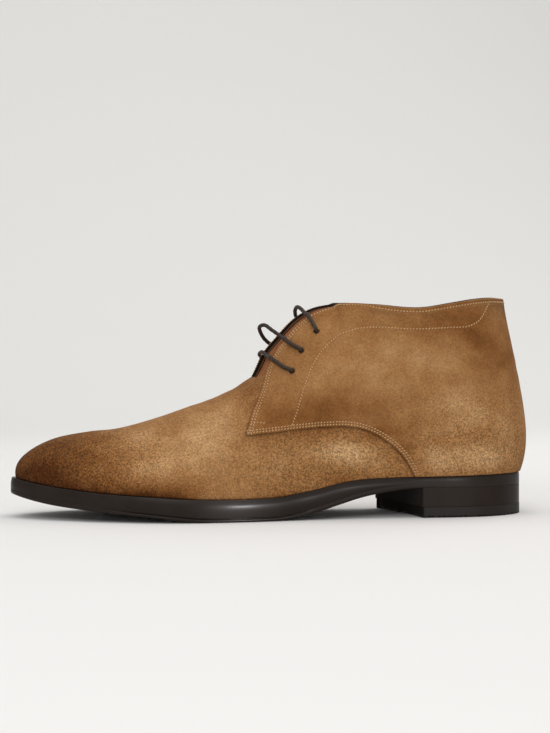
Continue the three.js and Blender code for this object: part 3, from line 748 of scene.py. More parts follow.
def math2(tree, operation, a, b, clamp=False):
    node = add(tree, "ShaderNodeMath", operation=operation, use_clamp=clamp)
    feed(tree, node.inputs[0], a)
    feed(tree, node.inputs[1], b)
    return node.outputs[0]


def plus(tree, a, b, clamp=False):
    return math2(tree, "ADD", a, b, clamp)


def times(tree, a, b):
    return math2(tree, "MULTIPLY", a, b)


def noise(tree, vector, scale, detail=3.0, rough=0.6):
    node = add(tree, "ShaderNodeTexNoise")
    setValues(node, Detail=detail, Roughness=rough)
    tree.links.new(vector, node.inputs["Vector"])
    feed(tree, node.inputs["Scale"], scale)
    return node.outputs["Fac"]


def mapRange(tree, value, low, high, toLow=0.0, toHigh=1.0):
    node = add(tree, "ShaderNodeMapRange")
    tree.links.new(value, node.inputs["Value"])
    setValues(node, From_Min=low, From_Max=high, To_Min=toLow, To_Max=toHigh)
    return node.outputs["Result"]


def mixColor(tree, factor, a, b, blend="MIX"):
    node = add(tree, "ShaderNodeMix", data_type="RGBA", blend_type=blend)
    for place, value in ((0, factor), (6, a), (7, b)):
        feed(tree, node.inputs[place], value)
    return node.outputs[2]


def makeNapGroup():  # raised fibres: fine speckle, brushed streaks and cloudy patches
    group, source, sink = newGroup(
        "napGrain",
        (("Vector", "NodeSocketVector", None), ("Speckle Scale", "NodeSocketFloat", 1500.0),
         ("Cloud Scale", "NodeSocketFloat", 60.0), ("Brush", "NodeSocketFloat", 0.3)),
        (("Speckle", "NodeSocketFloat"), ("Cloud", "NodeSocketFloat"), ("Height", "NodeSocketFloat")))
    vector = source.outputs["Vector"]
    fine = noise(group, vector, source.outputs["Speckle Scale"], 3.0, 0.75)
    stretch = add(group, "ShaderNodeMapping", vector_type="POINT")
    setValues(stretch, Rotation=(0.0, math.radians(28), 0.0), Scale=(1.0, 1.0, 1.7))
    group.links.new(vector, stretch.inputs["Vector"])
    streakScale = times(group, source.outputs["Speckle Scale"], 0.3)
    streak = noise(group, stretch.outputs[0], streakScale, 3.0, 0.6)
    middle = noise(group, vector, times(group, source.outputs["Speckle Scale"], 0.5), 2.0, 0.6)
    cloud = noise(group, vector, source.outputs["Cloud Scale"], 4.0, 0.62)
    speckle = times(group, plus(group, fine, middle), 0.5)
    brushed = times(group, math2(group, "SUBTRACT", streak, 0.5), source.outputs["Brush"])
    group.links.new(plus(group, speckle, brushed), sink.inputs["Speckle"])
    group.links.new(cloud, sink.inputs["Cloud"])
    group.links.new(plus(group, fine, times(group, streak, 0.6)), sink.inputs["Height"])
    return group


def makeGrainGroup():  # pores and fine wrinkles of smooth leather, rubber and cord
    group, source, sink = newGroup(
        "fineGrain",
        (("Vector", "NodeSocketVector", None), ("Grain Scale", "NodeSocketFloat", 900.0),
         ("Smudge Scale", "NodeSocketFloat", 40.0)),
        (("Grain", "NodeSocketFloat"), ("Smudge", "NodeSocketFloat")))
    cells = add(group, "ShaderNodeTexVoronoi", feature="DISTANCE_TO_EDGE")
    group.links.new(source.outputs["Vector"], cells.inputs["Vector"])
    group.links.new(source.outputs["Grain Scale"], cells.inputs["Scale"])
    pore = mapRange(group, cells.outputs["Distance"], 0.0, 0.35)
    small = noise(group, source.outputs["Vector"], source.outputs["Grain Scale"], 2.0, 0.6)
    grain = plus(group, times(group, pore, 0.6), times(group, small, 0.5))
    smudge = noise(group, source.outputs["Vector"], source.outputs["Smudge Scale"], 4.0, 0.6)
    group.links.new(grain, sink.inputs["Grain"])
    group.links.new(smudge, sink.inputs["Smudge"])
    return group


napGroup = makeNapGroup()
grainGroup = makeGrainGroup()


def startMaterial(name):
    material = bpy.data.materials.new(name)
    material.use_nodes = True
    tree = material.node_tree
    shader = tree.nodes["Principled BSDF"]
    place = add(tree, "ShaderNodeTexCoord")
    return material, tree, shader, place.outputs["Object"]


def useGroup(tree, group, vector, **values):
    node = add(tree, "ShaderNodeGroup", node_tree=group)
    tree.links.new(vector, node.inputs["Vector"])
    setValues(node, **values)
    return node


def maskOf(tree, name):
    return add(tree, "ShaderNodeAttribute", attribute_name=name).outputs["Fac"]


def bumpTo(tree, shader, height, strength, distance):
    bump = add(tree, "ShaderNodeBump")
    setValues(bump, Strength=strength, Distance=distance)
    tree.links.new(height, bump.inputs["Height"])
    tree.links.new(bump.outputs[0], shader.inputs["Normal"])


def suedeMaterial(name, looks):
    material, tree, shader, vector = startMaterial(name)
    nap = useGroup(tree, napGroup, vector, Speckle_Scale=looks["speckle"], Cloud_Scale=looks["cloud"],
                   Brush=looks["brush"])
    cloud = times(tree, math2(tree, "SUBTRACT", nap.outputs["Cloud"], 0.5), looks["cloudAmount"])
    toneAndShade = plus(tree, maskOf(tree, "toneAndShade"), cloud, clamp=True)
    ramp = add(tree, "ShaderNodeValToRGB")
    stops = ramp.color_ramp.elements
    stops[0].position, stops[1].position = 0.12, 0.98
    stops[0].color, stops[1].color = (*looks["light"], 1), (*looks["burnt"], 1)
    for position, name in ((0.42, "tan"), (0.70, "brown")):
        stops.new(position).color = (*looks[name], 1)
    tree.links.new(toneAndShade, ramp.inputs["Fac"])
    least, most = looks["speckLow"] - 1, looks["speckHigh"] - 1
    speck = mapRange(tree, nap.outputs["Speckle"], 0.4, 0.6, least, most)
    coarse = times(tree, maskOf(tree, "nap"), looks["napSpread"])
    speck = times(tree, speck, plus(tree, coarse, looks["napLeast"]))
    speck = plus(tree, speck, 1.0)
    shade = add(tree, "ShaderNodeCombineColor")
    for socket in shade.inputs[:3]:
        tree.links.new(speck, socket)
    colour = mixColor(tree, 1.0, ramp.outputs["Color"], shade.outputs[0], "MULTIPLY")
    # the groove colour: partly painted shade in the stitch grooves, partly the darker suede at the stitch
    # holes
    colour = mixColor(tree, times(tree, maskOf(tree, "groove"), 0.5), colour, looks["groove"])
    # dark rims: the leather's own dark cut edges and holes, and on the vamp a painted shadow under the seam
    colour = mixColor(tree, maskOf(tree, "rimAndShade"), colour, looks["rimAndShade"])
    tree.links.new(colour, shader.inputs["Base Color"])
    setValues(shader, Roughness=0.92, Specular_IOR_Level=0.08, Sheen_Weight=looks["sheen"],
              Sheen_Roughness=0.55, Sheen_Tint=(1.0, 0.82, 0.62, 1.0))
    bumpTo(tree, shader, nap.outputs["Height"], 0.55, 0.00025)
    return material


def plainMaterial(name, looks):
    material, tree, shader, vector = startMaterial(name)
    grain = useGroup(tree, grainGroup, vector, Grain_Scale=looks["grain"], Smudge_Scale=looks["smudge"])
    colour = mixColor(tree, mapRange(tree, grain.outputs["Smudge"], 0.3, 0.7), looks["dark"], looks["light"])
    if "rimAndShade" in looks:
        colour = mixColor(tree, maskOf(tree, "rimAndShade"), colour, looks["rimAndShade"])
    tree.links.new(colour, shader.inputs["Base Color"])
    rough = mapRange(tree, grain.outputs["Smudge"], 0.3, 0.7, *looks["rough"])
    tree.links.new(rough, shader.inputs["Roughness"])
    shader.inputs["Specular IOR Level"].default_value = looks.get("specular", 0.4)
    if "dull" in looks:  # faces turned under the boot are matt
        matt = math2(tree, "SUBTRACT", 1.0, maskOf(tree, "dull"))
        tree.links.new(times(tree, matt, looks["specular"]), shader.inputs["Specular IOR Level"])
    if "coat" in looks:
        glossy = math2(tree, "SUBTRACT", 1.0, times(tree, maskOf(tree, "dull"), 2.0), True)
        tree.links.new(times(tree, glossy, looks["coat"]), shader.inputs["Coat Weight"])
        shader.inputs["Coat Roughness"].default_value = looks["coatRough"]
    bumpTo(tree, shader, grain.outputs["Grain"], looks["bump"], 0.0001)
    return material


suedeLooks = {
    "light": (0.44, 0.261, 0.122), "tan": (0.288, 0.141, 0.052), "brown": (0.185, 0.075, 0.021),
    # the groove colour is partly painted shade in the stitch grooves, partly the darker suede at the stitch
    # holes
    # the rim colour darkens cut edges and also paints the shadow under the vamp's seam
    "burnt": (0.07, 0.021, 0.004), "groove": (0.14, 0.06, 0.02), "rimAndShade": (0.036, 0.017, 0.008),
    "speckle": 1700.0, "cloud": 60.0, "cloudAmount": 0.55, "brush": 0.2,
    "speckLow": 0.62, "speckHigh": 1.23, "napLeast": 0.62, "napSpread": 1.15, "sheen": 0.03,
}
tongueLooks = dict(suedeLooks, light=(0.34, 0.14, 0.05), tan=(0.26, 0.095, 0.032), brown=(0.17, 0.058, 0.02))
liningLooks = {"dark": (0.17, 0.075, 0.03), "light": (0.24, 0.11, 0.045), "rimAndShade": (0.012, 0.009, 0.008),
               "grain": 700.0, "smudge": 30.0, "rough": (0.6, 0.75), "bump": 0.3, "specular": 0.12}
insoleLooks = {"dark": (0.13, 0.06, 0.028), "light": (0.2, 0.1, 0.045), "grain": 700.0, "smudge": 25.0,
               "rough": (0.5, 0.7), "bump": 0.3}
soleLooks = {"dark": (0.0142, 0.0094, 0.0072), "light": (0.02, 0.0136, 0.0106), "grain": 1100.0,
             "smudge": 45.0, "rough": (0.34, 0.42), "bump": 0.05, "specular": 0.17, "coat": 0.6,
             "coatRough": 0.23, "dull": True}
liftLooks = {"dark": (0.011, 0.0085, 0.007), "light": (0.016, 0.0125, 0.0105), "grain": 1100.0,
             "smudge": 60.0, "rough": (0.42, 0.58), "bump": 0.14, "specular": 0.2, "dull": True}
threadLooks = {"dark": (0.33, 0.185, 0.08), "light": (0.48, 0.29, 0.135), "grain": 2500.0, "smudge": 300.0,
               "rough": (0.6, 0.75), "bump": 0.5}
laceLooks = {"dark": (0.022, 0.014, 0.0095), "light": (0.042, 0.027, 0.018), "grain": 1800.0, "smudge": 200.0,
             "rough": (0.55, 0.7), "bump": 0.35, "specular": 0.22}

suede = suedeMaterial("suede", suedeLooks)
tongueSuede = suedeMaterial("tongueSuede", tongueLooks)
liningLeather = plainMaterial("liningLeather", liningLooks)
insoleLeather = plainMaterial("insoleLeather", insoleLooks)
soleRubber = plainMaterial("soleRubber", soleLooks)
liftRubber = plainMaterial("liftRubber", liftLooks)
threadMaterial = plainMaterial("thread", threadLooks)
laceMaterial = plainMaterial("laceCord", laceLooks)
print("materials made")

# Vamp

vampSizes = {
    "rows": 76, "under": 7.0, "back": 26.0,
    "rowStep": ((20, 100, 160, 280), (2.4, 1.8, 1.5, 1.1)),  # mm between ribs, by x
    "throatFrom": 106.0, "throatOver": 12.0,  # x where the throat's edge takes over from the quarters' seam
    "levelFrom": 112.0, "levelOver": 8.0,
    "lip": 0.35, "tuck": 1.0, "fold": 0.9,  # mm inward
    "merge": 0.00003,
}


def rowShares(rows):  # rise shares from 0 to 1, closer together at both ends
    base = np.linspace(0, 1, rows)
    return base - 0.03 * np.sin(2 * np.pi * base)


def ribHeight(turns):  # mm of surface for one unit of rise, half way up
    return np.linalg.norm(pointOn(turns, 0.5) - pointOn(turns, 0.45), axis=-1) / 0.05


def makeVamp():  # from behind the seam on the outer side, round the toe, to the inner side
    side = arcTurns(0.0, float(turnOf(toAlong(vampSizes["back"]))), vampSizes["rowStep"])
    turns = np.concatenate([2 - side[:0:-1], side])
    crestX = crestPoint(turns)[:, 0]
    under = np.zeros_like(turns)
    for inner in sides:
        rise = np.interp(ownTurn(turns), *edges[inner][0], left=1.0) + vampSizes["under"] / ribHeight(turns)
        under = np.where((turns > 1) == inner, rise, under)
    blend = ease((crestX - vampSizes["throatFrom"]) / vampSizes["throatOver"])
    top = np.clip(under * (1 - blend) + throatRise(turns) * blend, 0.02, 1)
    # rows stay level where the throat cuts them off
    level = np.clip((crestX - vampSizes["levelFrom"]) / vampSizes["levelOver"], 0, 1)
    rows = [skin(turns, top * q * (1 - level) + np.minimum(q, top) * level, 0.0)
            for q in rowShares(vampSizes["rows"])]
    # the lower edge tucks in under itself, and the upper one folds in
    rows[0] = skin(turns, 0.0, -vampSizes["lip"])
    fold = skin(turns, top, np.where(top < 0.9995, -vampSizes["fold"], 0.0))
    rows = [skin(turns, 0.0, -vampSizes["tuck"])] + rows + [fold]
    grid = np.stack(rows, 1)
    return mergeClose(makeMesh("vampSuede", grid, gridFaces(*grid.shape[:2])), vampSizes["merge"])


vamp = makeVamp()
faceOutward(vamp, (0.17, 0, 0.035))
seamGap = gapTo(np.concatenate([
    pointOn(mirrored(own[:count], inner), v[:count])
    for inner in sides for (own, v), count in zip(edges[inner], (None, 120))]))


def seamShade(points):  # painted shadow in the step under the seam
    return 0.6 * np.exp(-(seamGap(points) / 0.9) ** 2)


def vampNap(x, z):  # coarse at the toe and under the facing, finer between them
    return 0.35 + 0.35 * np.clip((140 - x) / 25, 0, 1) + 0.65 * np.clip((x - 180) / 45, 0, 1)


paintSuede(vamp, seamShade, vampNap)
dress(vamp, suede, "suede", "upper")
print("vamp", len(vamp.data.polygons), "faces")

# Quarters

quarterSizes = {
    "rows": 84, "edgeRound": 0.6, "inside": 0.06,
    "rowStep": ((-40, 40, 76, 90, 140), (1.9, 1.7, 1.1, 0.95, 0.9)),
}
quarterCentre = np.array([40.0, 0.0, 60.0])
facingFront = 131  # x of the facings' front end, for the darkened edges
bindingBack = 76  # x behind which the collar's binding is wider


def closedSheet(turns, low, high, rows, outerAway, innerAway):  # leather between two rises, cut edges rounded
    tip = quarterSizes["edgeRound"] / ribHeight(turns)
    middle = (low + high) / 2
    rises = [np.clip(low + (high - low) * q, np.minimum(low + tip, middle), np.maximum(high - tip, middle))
             for q in rowShares(rows)]
    lowTip, highTip = np.minimum(low + 0.25 * tip, high), np.maximum(high - 0.25 * tip, low)
    ring = [(low, 0.5), (lowTip, 0.25)] + [(v, 0) for v in rises]  # rise, and depth into the leather
    ring += [(highTip, 0.25), (high, 0.5), (highTip, 0.75)] + [(v, 1) for v in rises[::-1]] + [(lowTip, 0.75)]
    return np.stack([skin(turns, v, outerAway + (innerAway - outerAway) * depth) for v, depth in ring], 1)


def softenCorner(grid, turns, spread):  # eases the fold where the instep's ridge turns into the collar
    padded = np.pad(grid, ((spread, spread), (0, 0), (0, 0)), mode="edge")
    soft = sum(k * padded[i:i + len(grid)] for i, k in enumerate(softKernel(spread)))
    near = np.exp(-((ownTurn(turns) - 0.583) / 0.022) ** 2)
    return grid + (soft - grid) * near[:, None, None] * np.clip((grid[..., 2:] - 100) / 14, 0, 1)


def pressThreads(points):  # the thread pulls the leather in along its rows
    distance = threadGap(points.reshape(-1, 3)).reshape(points.shape[:-1])
    dip = stitchRows["groove"] * np.exp(-(distance / stitchRows["grooveWidth"]) ** 2)
    return 0.12 * np.exp(-((distance - 1.9) / 0.9) ** 2) - dip


def makeQuarters():
    rows = quarterSizes["rows"]
    first, last = (edges[inner][1][0][0] + 0.0006 for inner in sides)
    turns = arcTurns(first, 2 - last, quarterSizes["rowStep"])
    grid = closedSheet(turns, *quarterRange(turns), rows, quarterAway, quarterSizes["inside"])
    grid = softenCorner(grid, turns, 7)
    face = grid[:, 1:rows + 3]
    normals = unit(np.cross(np.gradient(face, axis=0), np.gradient(face, axis=1)))
    outward = np.sign(np.sum(normals * (face - quarterCentre), -1, keepdims=True))
    grid[:, 1:rows + 3] = face + normals * outward * pressThreads(face)[..., None]
    return mergeClose(makeMesh("quarterSuede", grid, tubeFaces(*grid.shape[:2])))


quarters = makeQuarters()
faceOutward(quarters, (0.03, 0, 0.06))
print("quarters", len(quarters.data.polygons), "faces")
punchEyelets(quarters)


def quarterRim(points):  # cut edges and the punched holes are darker than the nap
    x, y, z = points.T
    own, rise = edges[True][1]
    nearEdge = np.where((x < facingFront) & (y < 2), gapTo(skin(2 - own, rise, quarterAway))(points), 9.0)
    nearHole = gapTo([skin(t, v, quarterAway) for t, v in eyeletSpots[0] + eyeletSpots[1]])(points)
    outward = unit((points - quarterCentre) * np.array([0.25, 1.0, 0.35]))
    facing = np.sum(vertexData(quarters, "normal") * outward, -1)
    collar = (x < 84) & (z > 118)
    cutEdge = np.clip((np.where(collar, 0.85, 0.4) - facing) / 0.3, 0, 1)
    strength = np.where(collar | (y < 0), 1.0, 0.35)
    return np.max([np.clip((1.8 - nearHole) / 0.3, 0, 1), cutEdge * strength,
                   np.clip((1.7 - nearEdge) / 0.5, 0, 1)], axis=0)


def quarterNap(x, z):  # coarse low at the heel
    return 0.7 * np.clip((60 - x) / 40, 0, 1) * np.clip((85 - z) / 40, 0, 1)


paintSuede(quarters, quarterRim, quarterNap)
dress(quarters, suede, "suede", "upper")
print("quarters punched", len(quarters.data.polygons), "faces")

# Lining

liningSizes = {
    "rows": 46, "proud": 0.35, "wall": 1.8, "behind": 0.3,
    "rowStep": ((-40, 40, 80, 140, 280), (3.0, 2.6, 1.6, 1.8, 3.0)),
    "vampFrom": 126.0,  # x where it ends under the vamp and no longer with the quarters
    "proudTo": 118.0, "proudOver": 10.0,
}


def makeLining():
    half = arcTurns(0.0, 1.0, liningSizes["rowStep"])
    turns = np.concatenate([half, 2 - half[-2:0:-1]])
    crestX = crestPoint(turns)[:, 0]
    underVamp = (crestX > liningSizes["vampFrom"]) & ((turns <= 1) | (crestX > throatFront))
    high = np.where(underVamp, throatRise(turns), quarterRange(turns)[1])
    rows = liningSizes["rows"]
    grid = closedSheet(turns, np.zeros_like(turns), high, rows, -liningSizes["behind"], -liningSizes["wall"])
    grid = softenCorner(grid, turns, 4)
    upward = unit(pointOn(turns, 1.0) - pointOn(turns, 0.985))
    proud = np.clip((liningSizes["proudTo"] - crestX) / liningSizes["proudOver"], 0, 1) * liningSizes["proud"]
    grid[:, rows:rows + 5] += (upward * proud[:, None])[:, None]
    piece = makeMesh("liningLeather", grid, tubeFaces(*grid.shape[:2], True))
    return mergeClose(piece), turns, high


lining, liningTurns, liningTop = makeLining()
punchEyelets(lining)


def liningRim(points):  # the dark binding at the lining's edge
    x, y, _ = points.T
    near = gapTo(skin(liningTurns, liningTop, -0.1))(points)
    behind = x < bindingBack
    reach = np.where(behind, 2.6, 1.3)
    return np.clip((reach - near) / 0.3, 0, 1) * (x < facingFront) * ((y < 0) | behind)


setMask(lining, "rimAndShade", liningRim(positions(lining)))
dress(lining, liningLeather, "suede", "upper")
print("lining", len(lining.data.polygons), "faces")

# Tongue

tongueSizes = {"gap": 0.5, "thick": 2.2, "front": 153.0, "backAlong": 0.4, "riseShare": 0.583,
               "steps": 70, "rows": 30}


def makeTongue():
    first, last = turnOf([toAlong(tongueSizes["front"]), tongueSizes["backAlong"]])
    turns = np.linspace(first, last, tongueSizes["steps"])
    away = -liningSizes["wall"] - tongueSizes["gap"]
    shares = np.linspace(0, 1, tongueSizes["rows"])
    outer, under = [], []
    for inner, order in zip(sides, (shares, shares[-2::-1])):
        for share in order:
            v = tongueSizes["riseShare"] + (1 - tongueSizes["riseShare"]) * share
            thick = tongueSizes["thick"] * np.clip(share / 0.12, 0.25, 1)
            outer.append(skin(mirrored(turns, inner), v, away))
            under.append(skin(mirrored(turns, inner), v, away - thick))
    grid = np.stack(outer + under[::-1], 1)
    return mergeClose(makeMesh("tongueSuede", grid, tubeFaces(*grid.shape[:2])))


tongue = makeTongue()
soften = tongue.modifiers.new("soft edges", "BEVEL")
soften.width = 0.0004
soften.segments = 2
soften.limit_method = "ANGLE"
setMask(tongue, "toneAndShade", 0.55 + 0.075 * np.sin(positions(tongue)[:, 0] * 0.08))
dress(tongue, tongueSuede, "tongue_suede", "tongue")
print("tongue made")

# Sole, heel and insole

soleSizes = {"steps": 260, "tread": 2.4, "inset": 1.3, "groove": 0.55, "panel": 6.0, "panelDepth": 0.45}
soleRimRows = (  # inset in front of the heel and at it, level from the top or up from the low side, mm
    (6.0, 6.0, "top", -0.05), (2.2, 2.2, "top", -0.02), (1.3, 1.3, "top", 0.0), (0.85, 0.85, "top", -0.12),
    (0.72, 0.35, "top", -0.35), (0.62, 0.2, "top", -0.75), (0.42, 0.08, "top", -1.6),
    (0.25, 0.02, "top", -2.5), (0.09, 0.0, "top", -3.6),
    (0.03, 0.0, "low", 0.75 + soleSizes["tread"]), (0.25, 0.0, "low", 0.3 + soleSizes["tread"]),
)


def loopTurns(steps):
    half = np.linspace(0, 1, steps)
    return np.concatenate([half, 2 - half[-2:0:-1]])


def ladderFaces(count, start, flip=False):  # closes a loop straight across
    faces = []
    i, j = 0, count - 1
    while j - i > 1:
        faces.append([start + i, start + i + 1, start + j])
        i += 1
        if j - i > 1:
            faces.append([start + i, start + j - 1, start + j])
            j -= 1
    return [f[::-1] for f in faces] if flip else faces


def ringSolid(name, rings):
    count, last = len(rings[0]), len(rings) - 1
    ends = ladderFaces(count, 0) + ladderFaces(count, last * count, True)
    return mergeClose(makeMesh(name, rings, tubeFaces(len(rings), count)[:-2] + ends))


def treadShare(x):  # 1 over the tread layer
    along = toAlong(x)
    return ease((along - 0.42) / 0.08) * (1 - ease((along - 0.74) / 0.12))


def heelShare(x):  # 0 over the heel, 1 in front of it
    return ease((toAlong(x) - 0.2) / 0.08)


def soleRing(turns, insetOf, base, shift):
    x = outline(turns)[0]
    x, y, _, _ = outline(turns, insetOf(treadShare(x), heelShare(x)))
    top, low = soleLevel(1, x), soleLevel(2, x)
    if base == "top":  # squeezed where the sole is thin, so that the levels stay in order
        spare = 0.75 + soleSizes["tread"]
        return np.stack([x, y, top + shift * np.clip((top - low - spare) / 4.0, 0.2, 1)], -1)
    return np.stack([x, y, low + shift], -1)


def makeOutsole():
    turns = loopTurns(soleSizes["steps"])
    tread, inset, groove, panel = (soleSizes[key] for key in ("tread", "inset", "groove", "panel"))
    rings = [soleRing(turns, lambda s, h, f=front, e=heel: e + (f - e) * h, base, shift)
             for front, heel, base, shift in soleRimRows]
    for extra, up in ((groove, tread + 0.1), (groove, tread - 0.3), (0.0, tread - 0.5)):
        rings.append(soleRing(turns, lambda s, h, e=extra: (inset + e) * s * h, "low", up))
    for edge, up, least in ((0.05, 0.7, 0.08), (0.25, 0.2, 0.08), (0.7, 0.0, 0.08), (panel, 0.0, 1.0)):
        rings.append(soleRing(turns, lambda s, h, e=edge, n=least: inset * s * h + e * np.maximum(h, n),
                              "low", up))
    rings.append(soleRing(turns, lambda s, h: inset * s * h + panel + 0.4, "low", soleSizes["panelDepth"]))
    return ringSolid("outsoleRubber", rings)


outsole = makeOutsole()
faceOutward(outsole, (0.12, 0, 0.012))
setMask(outsole, "dull", 0.45 - 0.45 * np.exp(-((positions(outsole)[:, 0] - 146) / 18) ** 2))
dress(outsole, soleRubber, "sole_rubber", "outsole")

heelSizes = {"breastOuter": 33.0, "breastInner": 52.0, "hollow": 2.5, "lift": 6.3, "notchReach": 7.0}


def heelOutline(cut, grow=0.0, notch=False):  # plan of the heel, outline and breast joined
    width = lastSizes["seatWidth"]
    shares = np.linspace(-0.12, 1.12, 60)
    slant = heelSizes["breastOuter"] + (heelSizes["breastInner"] - heelSizes["breastOuter"]) * shares
    breast = np.stack([slant - heelSizes["hollow"] * 4 * shares * (1 - shares) + cut,
                       width / 2 - shares * width], -1)
    side = np.linspace(float(turnOf(0.33)), 1.0, 220)
    x, y, _, _ = outline(np.concatenate([side, 2 - side[:-1][::-1]]), -grow)
    keep = x < np.interp(y, breast[::-1, 1], breast[::-1, 0])
    loop = np.stack([x[keep], y[keep]], -1)
    inside = (breast[:, 1] < loop[0, 1] - 0.3) & (breast[:, 1] > loop[-1, 1] + 0.3)
    front = breast[inside][::-1]
    if notch:  # the chamfered corner on the inner side
        line = heelSizes["breastInner"] - heelSizes["notchReach"]
        front[:, 0] -= np.clip(front[:, 0] - (line + 3.0), 0, None) * 0.8
    return np.concatenate([loop, front])


def insetLoop(loop, distance):  # moves a closed loop inward
    before, after = np.roll(loop, 1, 0), np.roll(loop, -1, 0)
    tangent = after - before
    tangent /= np.maximum(1e-6, np.linalg.norm(tangent, axis=1, keepdims=True))
    area = 0.5 * np.sum(loop[:, 0] * after[:, 1] - after[:, 0] * loop[:, 1])
    normal = np.stack([-tangent[:, 1], tangent[:, 0]], -1) * np.sign(area)
    return loop + normal * distance


def heelSolid(name, loop, low, high, topRound, lowRound):
    rings = []
    for inset, drop in ((1.8, 0.0), (1.0, 0.0), (0.3, -0.3), (0.0, -1.0)):
        moved = insetLoop(loop, inset * topRound)
        rings.append(np.column_stack([moved, high(moved[:, 0]) + drop * topRound]))
    base = low(loop[:, 0])
    for share in (0.96, 0.75, 0.5, 0.25, 0.04):
        rings.append(np.column_stack([loop, base + (high(loop[:, 0]) - base) * share]))
    for inset, rise in ((0.0, 1.0), (0.3, 0.3), (1.0, 0.0), (1.8, 0.0)):
        moved = insetLoop(loop, inset * lowRound)
        rings.append(np.column_stack([moved, low(moved[:, 0]) + rise * lowRound]))
    count, total = len(loop), len(loop) * len(rings)
    ends = [list(range(count)), list(range(total - 1, total - count - 1, -1))]
    piece = mergeClose(makeMesh(name, rings, tubeFaces(len(rings), count)[:-2] + ends))
    faceOutward(piece, (0.005, 0, 0.5 * np.mean(rings[0][:, 2]) / 1000))
    piece.data.polygons.foreach_set("use_smooth", [len(f.vertices) < 10 for f in piece.data.polygons])
    return piece


heelBlock = heelSolid("heelRubber", heelOutline(0.0), lambda x: np.full_like(x, heelSizes["lift"] + 0.06),
                      lambda x: soleLevel(2, x) - 0.012, 0.02, 0.1)
topLift = heelSolid("topLiftRubber", heelOutline(-0.8, 0.12, True), np.zeros_like,
                    lambda x: np.full_like(x, heelSizes["lift"]), 0.16, 0.45)
for piece, dull in ((heelBlock, 0.52), (topLift, 0.1)):  # the breast is duller still
    forward = np.clip((vertexData(piece, "normal")[:, 0] - 0.45) / 0.2, 0, 1)
    setMask(piece, "dull", dull + (0.97 - dull) * forward)
dress(heelBlock, soleRubber, "sole_rubber", "heel_block")
dress(topLift, liftRubber, "lift_rubber", "top_lift")


def makeInsole():
    turns = loopTurns(150)
    ledge = track("ledge", turns) * lastSizes["featherStep"] + liningSizes["wall"] + 0.7
    rings = []
    for inset, level in ((4.0, 3.05), (1.2, 3.2), (0.5, 3.1), (0.1, 2.7), (0.0, 2.2), (0.0, 0.3)):
        x, y, _, _ = outline(turns, ledge + inset)
        rings.append(np.stack([x, y, soleLevel(1, x) + level], -1))
    return ringSolid("insoleLeather", rings)


insole = makeInsole()
faceOutward(insole, (0.12, 0, 0.02))
dress(insole, insoleLeather, "sock", "insole")
print("sole, heel and insole made")

# Laces

laceSizes = {"width": 2.5, "around": 14, "step": 0.42, "twist": 3.4, "strand": 0.06, "inside": -1.9,
             "clear": 0.3}
laceClear = laceSizes["width"] / 2 + laceSizes["clear"]
lacePlaces = {  # where each bar runs between its two eyelets, x, y, z
    "lace_bar_lower": ((114.7, 20, 90), (119.3, 12, 93.3), (123.3, 4, 96.8), (125.3, -4, 98.4),
                       (125.3, -10, 96.4), (122.6, -15, 93.8)),
    "lace_bar_middle": ((108.8, 15, 103), (113.5, 9, 107.1), (119.6, 3, 111.8), (123.8, -3, 114.8),
                        (126.1, -8, 113.5), (123.5, -13, 107.4), (118.1, -17, 102.7)),
    "lace_bar_upper": ((96.9, 12, 116.8), (100, 7, 122.1), (102.3, 1, 125.1), (103.6, -4, 125.7),
                       (104.2, -9, 123.3), (102.7, -14, 119)),
}


def outerFaceTree():  # the quarters' outer face alone
    first, last = (edges[inner][1][0][0] + 0.001 for inner in sides)
    turns = arcTurns(first, 2 - last, ((-40, 140), (2.0, 1.4)))
    low, high = quarterRange(turns)
    shares = np.linspace(0, 1, 70)
    points = np.stack([skin(turns, low + (high - low) * q, quarterAway) for q in shares], 1).reshape(-1, 3)
    return bvhtree.BVHTree.FromPolygons(points.tolist(), gridFaces(len(turns), len(shares)).tolist())


quarterTree = outerFaceTree()
tongueTree = bvhtree.BVHTree.FromPolygons([v.co * 1000 for v in tongue.data.vertices],
                                          [tuple(f.vertices) for f in tongue.data.polygons])


def clearNear(place):  # moves a place towards the viewer until it clears the leather behind it
    x, y, z = place
    for tree in (quarterTree, tongueTree):
        spot, normal, _, _ = tree.ray_cast(Vector((x, 90.0, z)), Vector((0, -1, 0)))
        if spot is not None and spot.y > y - 2:
            y = max(y, spot.y + laceClear / max(0.35, abs(normal.y)))
    return (x, y, z)


def lacePath(index, places):
    lifts = (laceSizes["inside"], quarterAway - 0.4, quarterAway + laceSizes["width"] * 0.5 + 0.1)
    ends = [[skin(*eyeletSpots[inner][index], away) for away in lifts] for inner in sides]
    places = [clearNear(place) if place[1] > 0 else place for place in places]
    line = sampleLine(np.concatenate([ends[0], np.array(places, float), ends[1][::-1]]), laceSizes["step"])
    push = np.zeros_like(line)
    for k, point in enumerate(line):
        if min(np.linalg.norm(end[1] - point) for end in ends) < 2.2:
            continue
        spot, normal, _, distance = quarterTree.find_nearest(Vector(point))
        normal = np.array(normal) * (1 if normal.dot(spot - Vector(quarterCentre)) > 0 else -1)
        gap = point - np.array(spot)
        side = gap @ normal
        aside = np.linalg.norm(gap - normal * side)
        if distance < laceClear or (side < 0 and aside < 0.8):
            push[k] = normal * (laceClear - side)
    kernel = np.exp(-np.linspace(-1.6, 1.6, 11) ** 2)
    kernel *= 1.1 / kernel.sum()
    return line + np.stack([np.convolve(column, kernel, "same") for column in push.T], -1)


def crossSections(centres, radii, side, other, around):  # rings of points around places on a line
    angle = 2 * np.pi * np.arange(around) / around
    spread = side[:, None] * np.cos(angle)[None, :, None] + other[:, None] * np.sin(angle)[None, :, None]
    return centres[:, None] + radii * spread


